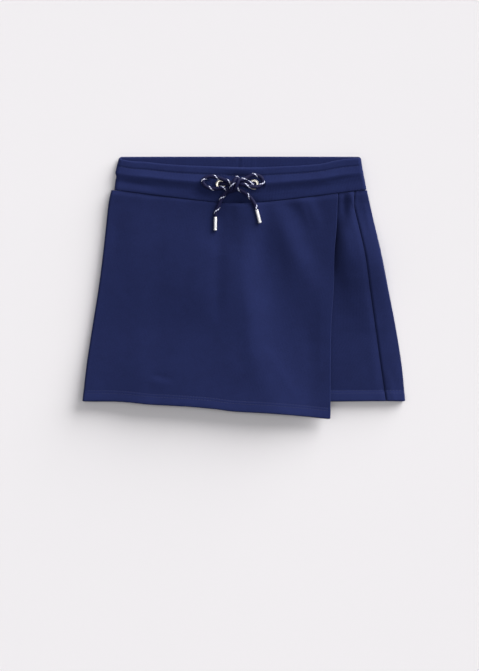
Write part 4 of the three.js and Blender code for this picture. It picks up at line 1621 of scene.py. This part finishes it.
@dataclass(frozen=True)
class Drawcord:
    """One end of the drawcord: from its eyelet through the knot, round its loop and to its aglet."""

    name: str
    route: tuple[Place, ...]
    nodes: tuple[str, ...]
    heading: Place
    ticks: tuple[tuple[float, float], ...]
    radius: float = 2.1
    plaits: int = 8
    plait_length: float = 2.6
    valley: float = 0.16
    plump: float = 0.2
    sides: int = 40
    pitch: float = 17.0  # cord's length for one turn of the tracer

    def line(self) -> Array:
        """The cord's centreline."""
        return through_points(np.array(self.route), 0.3)

    def turns(self, line: Array, run: Array) -> Array:
        """Turns of the tracer along the cord: a half past a whole number where a tick crosses the top.

        Args:
            line: The centreline.
            run: Distance along it.

        Returns:
            Turns, one for each pitch past the first and the last tick, and straight between ticks
            that are near each other. Between far ones the cord isn't twisted, and its tracer stays
            on the underside.
        """
        at, count = [-0.2 * self.pitch], [0.0]
        for tick in self.ticks:
            # It is looked for between a half and 2.3 pitches past the last one.
            near = (run > at[-1] + 0.5 * self.pitch) & (run < at[-1] + 2.3 * self.pitch)
            off = np.hypot(*(line[:, :2] - np.array(tick)).T)
            here = float(run[np.argmin(np.where(near, off, 99.0))])
            if len(at) > 1 and here - at[-1] > 1.6 * self.pitch:
                # Too far for one turn: half a turn down, straight along the underside, half a turn up.
                at += [at[-1] + 0.4 * self.pitch, here - 0.4 * self.pitch]
                count += [count[-1] + 0.5, count[-1] + 0.5]
                count.append(count[-1] + 0.5)
            else:
                count.append(count[-1] + 1.0)
            at.append(here)
        ends = np.array([at[1] - 3.0 * self.pitch] + at[1:] + [at[-1] + 5.0 * self.pitch])
        return np.interp(run, ends, [count[1] - 3.0] + count[1:] + [count[-1] + 5.0]) + 0.5

    def shape(self) -> Mesh:
        """The braid: a tube whose radius rises over each plait, where two sets of helices cross.

        The tube's zero side points up, except just out of the eyelet, where it points back from
        where the cord heads. The relief is the product of two sines, one for each way that the
        plaits wind.

        Returns:
            The braid.
        """
        line = self.line()
        run = arc(line[None], 1)[0]
        way = unit(np.gradient(line, axis=0))
        back = -np.array(self.heading) * np.exp(-run / 6.0)[:, None]
        normal = np.array([0.0, 0.0, 1.0]) + back
        normal = unit(normal - way * (normal * way).sum(-1, keepdims=True))
        side = np.cross(way, normal)
        turn = 2.0 * np.pi * np.arange(self.sides) / self.sides
        plait = 0.5 * self.plaits * turn[None, :]
        along = np.pi * run[:, None] / self.plait_length
        relief = np.abs(np.sin(plait + along) * np.sin(plait - along)) ** 0.5
        end = roundness(np.minimum(run, run[-1] - run), 0.8)[:, None]
        radius = (self.radius - self.valley + self.plump * relief) * (1.0 - 0.9 * end)
        cosine, sine = np.cos(turn)[None, :, None], np.sin(turn)[None, :, None]
        spoke = normal[:, None] * cosine + side[:, None] * sine
        points = line[:, None] + spoke * radius[..., None]
        u, v = np.meshgrid(np.arange(self.sides + 1) / self.sides, run)
        u = u - self.turns(line, run)[:, None]
        faces = grid_faces(len(line), self.sides, ring=True)
        return Mesh(points.reshape(-1, 3), faces, grid_corners(u, v))

    def build(self, material: bpy.types.Material, tip: bpy.types.Object) -> bpy.types.Object:
        """Makes the cord in its solids' place.

        Args:
            material: The braid.
            tip: The aglet on its end. Not used.

        Returns:
            The object.
        """
        line = self.line()
        piece = add_part(self.name, self.shape(), material, self.nodes)
        return piece


# -----------------------------------------------------------------------------
# Studio
# -----------------------------------------------------------------------------


@dataclass(frozen=True)
class Studio:
    """A matt white table lit by a large soft light at its far right, and the camera straight above it.

    Its sizes and places are in metres.
    """

    floor_size: float = 60.0
    camera_at: Place = (-0.0033, -0.0534, 2.6)
    lens: float = 126.8
    sun_bearing: float = 46.0  # degrees from +X towards +Y
    sun_height: float = 18.0
    sun_spread: float = 52.0
    sun_power: float = 5.3
    strip_size: tuple[float, float] = (5.0, 0.5)
    strip_height: float = 2.9
    strip_power: float = 22.0
    sky: float = 0.32

    def camera(self) -> bpy.types.Object:
        """The camera, looking straight down with the waist at the top of its view.

        Returns:
            The camera.
        """
        data = bpy.data.cameras.new("camera")
        data.lens = self.lens
        data.sensor_width = 36.0
        data.clip_end = 200.0
        camera = put("camera", data, self.camera_at)
        bpy.context.scene.camera = camera
        return camera

    def floor(self) -> bpy.types.Object:
        """The table top, just under the cloth.

        Returns:
            The table top.
        """
        half = self.floor_size / 2 / MM
        corners = np.array([[-half, -half], [half, -half], [half, half], [-half, half]])
        points = np.concatenate([corners, np.full((4, 1), -0.15)], axis=1)
        mesh = Mesh(points, np.array([[0, 1, 2, 3]]), corners[None] * MM)
        floor = add_piece("table_top", mesh, BoardFinish().make())
        return floor

    def lights(self) -> None:
        """A broad low key light from the far right, a strip overhead for the metal, and an even sky."""
        key = bpy.data.lights.new("key", "SUN")
        key.energy = self.sun_power
        key.angle = math.radians(self.sun_spread)
        key.color = linear("#fffefe")[:3]
        bearing, height = math.radians(self.sun_bearing), math.radians(self.sun_height)
        flat = 3 * math.cos(height)
        sun = put("key", key, (flat * math.cos(bearing), flat * math.sin(bearing), 3 * math.sin(height)))
        sun.rotation_mode = "QUATERNION"
        sun.rotation_quaternion = sun.location.to_track_quat("Z", "Y")
        tube = bpy.data.lights.new("strip", "AREA")
        tube.shape = "RECTANGLE"
        tube.size, tube.size_y = self.strip_size
        tube.energy = self.strip_power
        put("strip", tube, (0.0, 0.1, self.strip_height))
        world = bpy.data.worlds.new("studio_sky")
        world.use_nodes = True
        background = world.node_tree.nodes["Background"]
        background.inputs["Color"].default_value = linear("#fdfcfe")
        background.inputs["Strength"].default_value = self.sky
        bpy.context.scene.world = world
        bpy.context.scene.view_settings.view_transform = "Standard"


# -----------------------------------------------------------------------------
# The part
# -----------------------------------------------------------------------------

EYELETS = ((-23.7, 112.4), (12.4, 112.2))

# Centrelines of the two ends of the drawcord, chosen along the lying bow.
LEAD_LEFT = (
    (-23.7, 112.4, 6.4), (-23.7, 112.4, 9), (-22.2, 112.9, 10.9), (-20.2, 113, 11.3), (-18, 112.6, 11.4),
)
LEAD_RIGHT = (
    (12.4, 112.2, 6.4), (12.4, 112.2, 8.8), (11, 112.9, 10.8), (7.2, 114.3, 11.2), (1.5, 115.4, 11.2),
    (-3.6, 115.8, 11.9),
)
LOOP_LEFT = (
    (-17.6, 107.2, 12.7), (-22.4, 108.4, 12.4), (-29, 107.5, 11.8), (-35, 107.9, 11.5),
    (-40, 110.1, 11.9), (-43.3, 114, 12.8), (-42.4, 117.9, 12.4), (-37.6, 120.4, 11.9),
    (-31.8, 120.5, 12.2), (-25.6, 119, 12.9), (-18.5, 116.3, 13.9),
)
LOOP_RIGHT = (
    (-2.6, 112.2, 14.8), (2, 111.4, 15.4), (7.4, 109.9, 15.2), (13.5, 109, 14.6), (18.9, 110.4, 12.8),
    (22.3, 114, 11.6), (21.2, 118.8, 11.4), (16.6, 121.9, 11.6), (11, 122.2, 12.4), (5, 119.4, 13.6),
    (-0.6, 116.9, 15.6),
)
TAIL_LEFT = (
    (-15.6, 104.6, 12.7), (-19.4, 101.6, 11.7), (-22.4, 97.6, 10.8), (-24.6, 92.4, 10.4),
    (-26.8, 87, 10.2), (-28.9, 82, 9.9), (-29.6, 76.6, 9.8),
)
TAIL_RIGHT = (
    (-6, 107.4, 13.9), (-1.6, 105.4, 13.5), (3.8, 102, 12.5), (9, 97, 12.4), (13, 91, 13.2),
    (15.5, 84.4, 13.6),
)
# Through the knot: A goes under it, round the right loop and over; B goes over it and back under.
KNOT_A_IN = ((-14, 111.8, 11.6), (-9.5, 111, 12.5), (-6, 111.6, 13.3))
KNOT_A_OUT = ((-3.6, 116.4, 17.8), (-5.6, 112.6, 19.2), (-7.4, 108.4, 18.2), (-10, 105.2, 15))
KNOT_B_OVER = (
    (-4.6, 118.6, 13.8), (-6.2, 119, 17), (-8.9, 116, 19.6), (-11, 111.6, 19.8), (-12.3, 107.4, 17.9),
    (-13, 104.7, 15.4), (-14.8, 104.7, 13.4),
)
KNOT_B_OUT = ((-14.4, 114.6, 14.6), (-10.8, 112.2, 15), (-8, 109.4, 14.8))

# Where the tracer yarn crosses the upper side of each end, in order along it.
TICKS_A = ((5.4, 110.8), (21.6, 111.6), (14.8, 122), (2.2, 117.9), (-21.8, 98.6), (-27.5, 84))
TICKS_B = (
    (11.2, 112.9), (-5.4, 119), (-11.4, 112.4), (-19.6, 109), (-34.5, 107.7), (-43, 117), (-28.7, 120),
    (-14.3, 115), (-5.2, 107.2), (6.2, 99.6), (14.8, 86.4),
)

LEFT_AGLET_WAY = (-0.01, -1.0, 0.075)
RIGHT_AGLET_WAY = (0.26, -1.0, -0.1)


def main() -> None:
    """Builds the studio, the drawcord, the panels, the band, the trim and the stitches, in that order."""
    logging.basicConfig(level=logging.INFO, format="%(name)s: %(message)s")
    studio = Studio()
    studio.camera()

    nickel = MetalFinish("nickel_plated_brass", "#f4f4f6", 0.34)
    tip_left = Aglet("aglet_left", TAIL_LEFT[-1], LEFT_AGLET_WAY).build(nickel.make())
    tip_right = Aglet("aglet_right", TAIL_RIGHT[-1], RIGHT_AGLET_WAY).build(nickel.make())
    braid = BraidFinish().make()
    cord_a = Drawcord(
        "drawcord_from_left",
        LEAD_LEFT + KNOT_A_IN + LOOP_RIGHT + KNOT_A_OUT + TAIL_LEFT,
        ("drawcord_lead_left", "drawcord_loop_right", "drawcord_tail_left", "drawcord_knot"),
        heading=(1.0, 0.0, 0.0),
        ticks=TICKS_A,
    )
    cord_b = Drawcord(
        "drawcord_from_right",
        LEAD_RIGHT + KNOT_B_OVER + LOOP_LEFT + KNOT_B_OUT + TAIL_RIGHT,
        ("drawcord_lead_right", "drawcord_loop_left", "drawcord_tail_right"),
        heading=(-1.0, 0.4, 0.0),
        ticks=TICKS_B,
    )
    pieces = [tip_left, tip_right, cord_a.build(braid, tip_left), cord_b.build(braid, tip_right)]

    lay = Lay()
    plan = lay.plan
    knit = KnitFinish("cotton_sweatshirt_knit", "#1b2248", "#1f2751").make()
    thread = Stitching()
    flap = WrapFlap(lay, "wrap_flap", flat=(0.283, 0.25), area=0.061, rests_on=("front_leg_right_cloth",))
    leg_right = FrontLeg(
        lay,
        "front_leg_right",
        flat=(0.16, 0.231),
        area=0.032,
        rests_on=("back_leg_right_cloth",),
        left=plan.inner(1),
        right=lambda y: plan.side("seam")(y) - plan.seam_gap / 2,
    )
    leg_left = FrontLeg(
        lay,
        "front_leg_left",
        flat=(0.174, 0.232),
        area=0.0345,
        rests_on=("back_leg_left_cloth",),
        left=lambda y: plan.side("left")(y) + 2.4,
        right=plan.inner(-1),
        spacing=3.0,
    )
    back_left = BackLegLeft(lay, "back_leg_left", flat=(0.18, 0.232), area=0.0365)
    back_right = BackLegRight(lay, "back_leg_right", flat=(0.2, 0.232), area=0.041)
    pieces += [panel.build(knit) for panel in (flap, leg_right, leg_left, back_left, back_right)]

    band = Waistband(plan, EYELETS)
    band_knit = KnitFinish("elasticated_waistband_knit", "#1c234b", "#202954", knit=Knit.RIB)
    pieces.append(band.build(band_knit.make()))
    gold = MetalFinish("pale_gold_plated_brass", "#f5f0e4", 0.3)
    for name, (x, y) in zip(("eyelet_left", "eyelet_right"), EYELETS):
        seat = float(band.top(x, y)) + plan.seam_gap
        pieces.append(Eyelet(name, x, y, seat).build(gold.make()))

    for sewn in (flap, leg_right, back_right, band):
        sewn.sew(thread)
    pieces.append(thread.build("seam_stitches", ThreadFinish().make()))

    studio.floor()
    studio.lights()
    for piece in pieces:
        log.info("%s: %d faces", piece.name, len(piece.data.polygons))


if __name__ == "__main__":
    main()
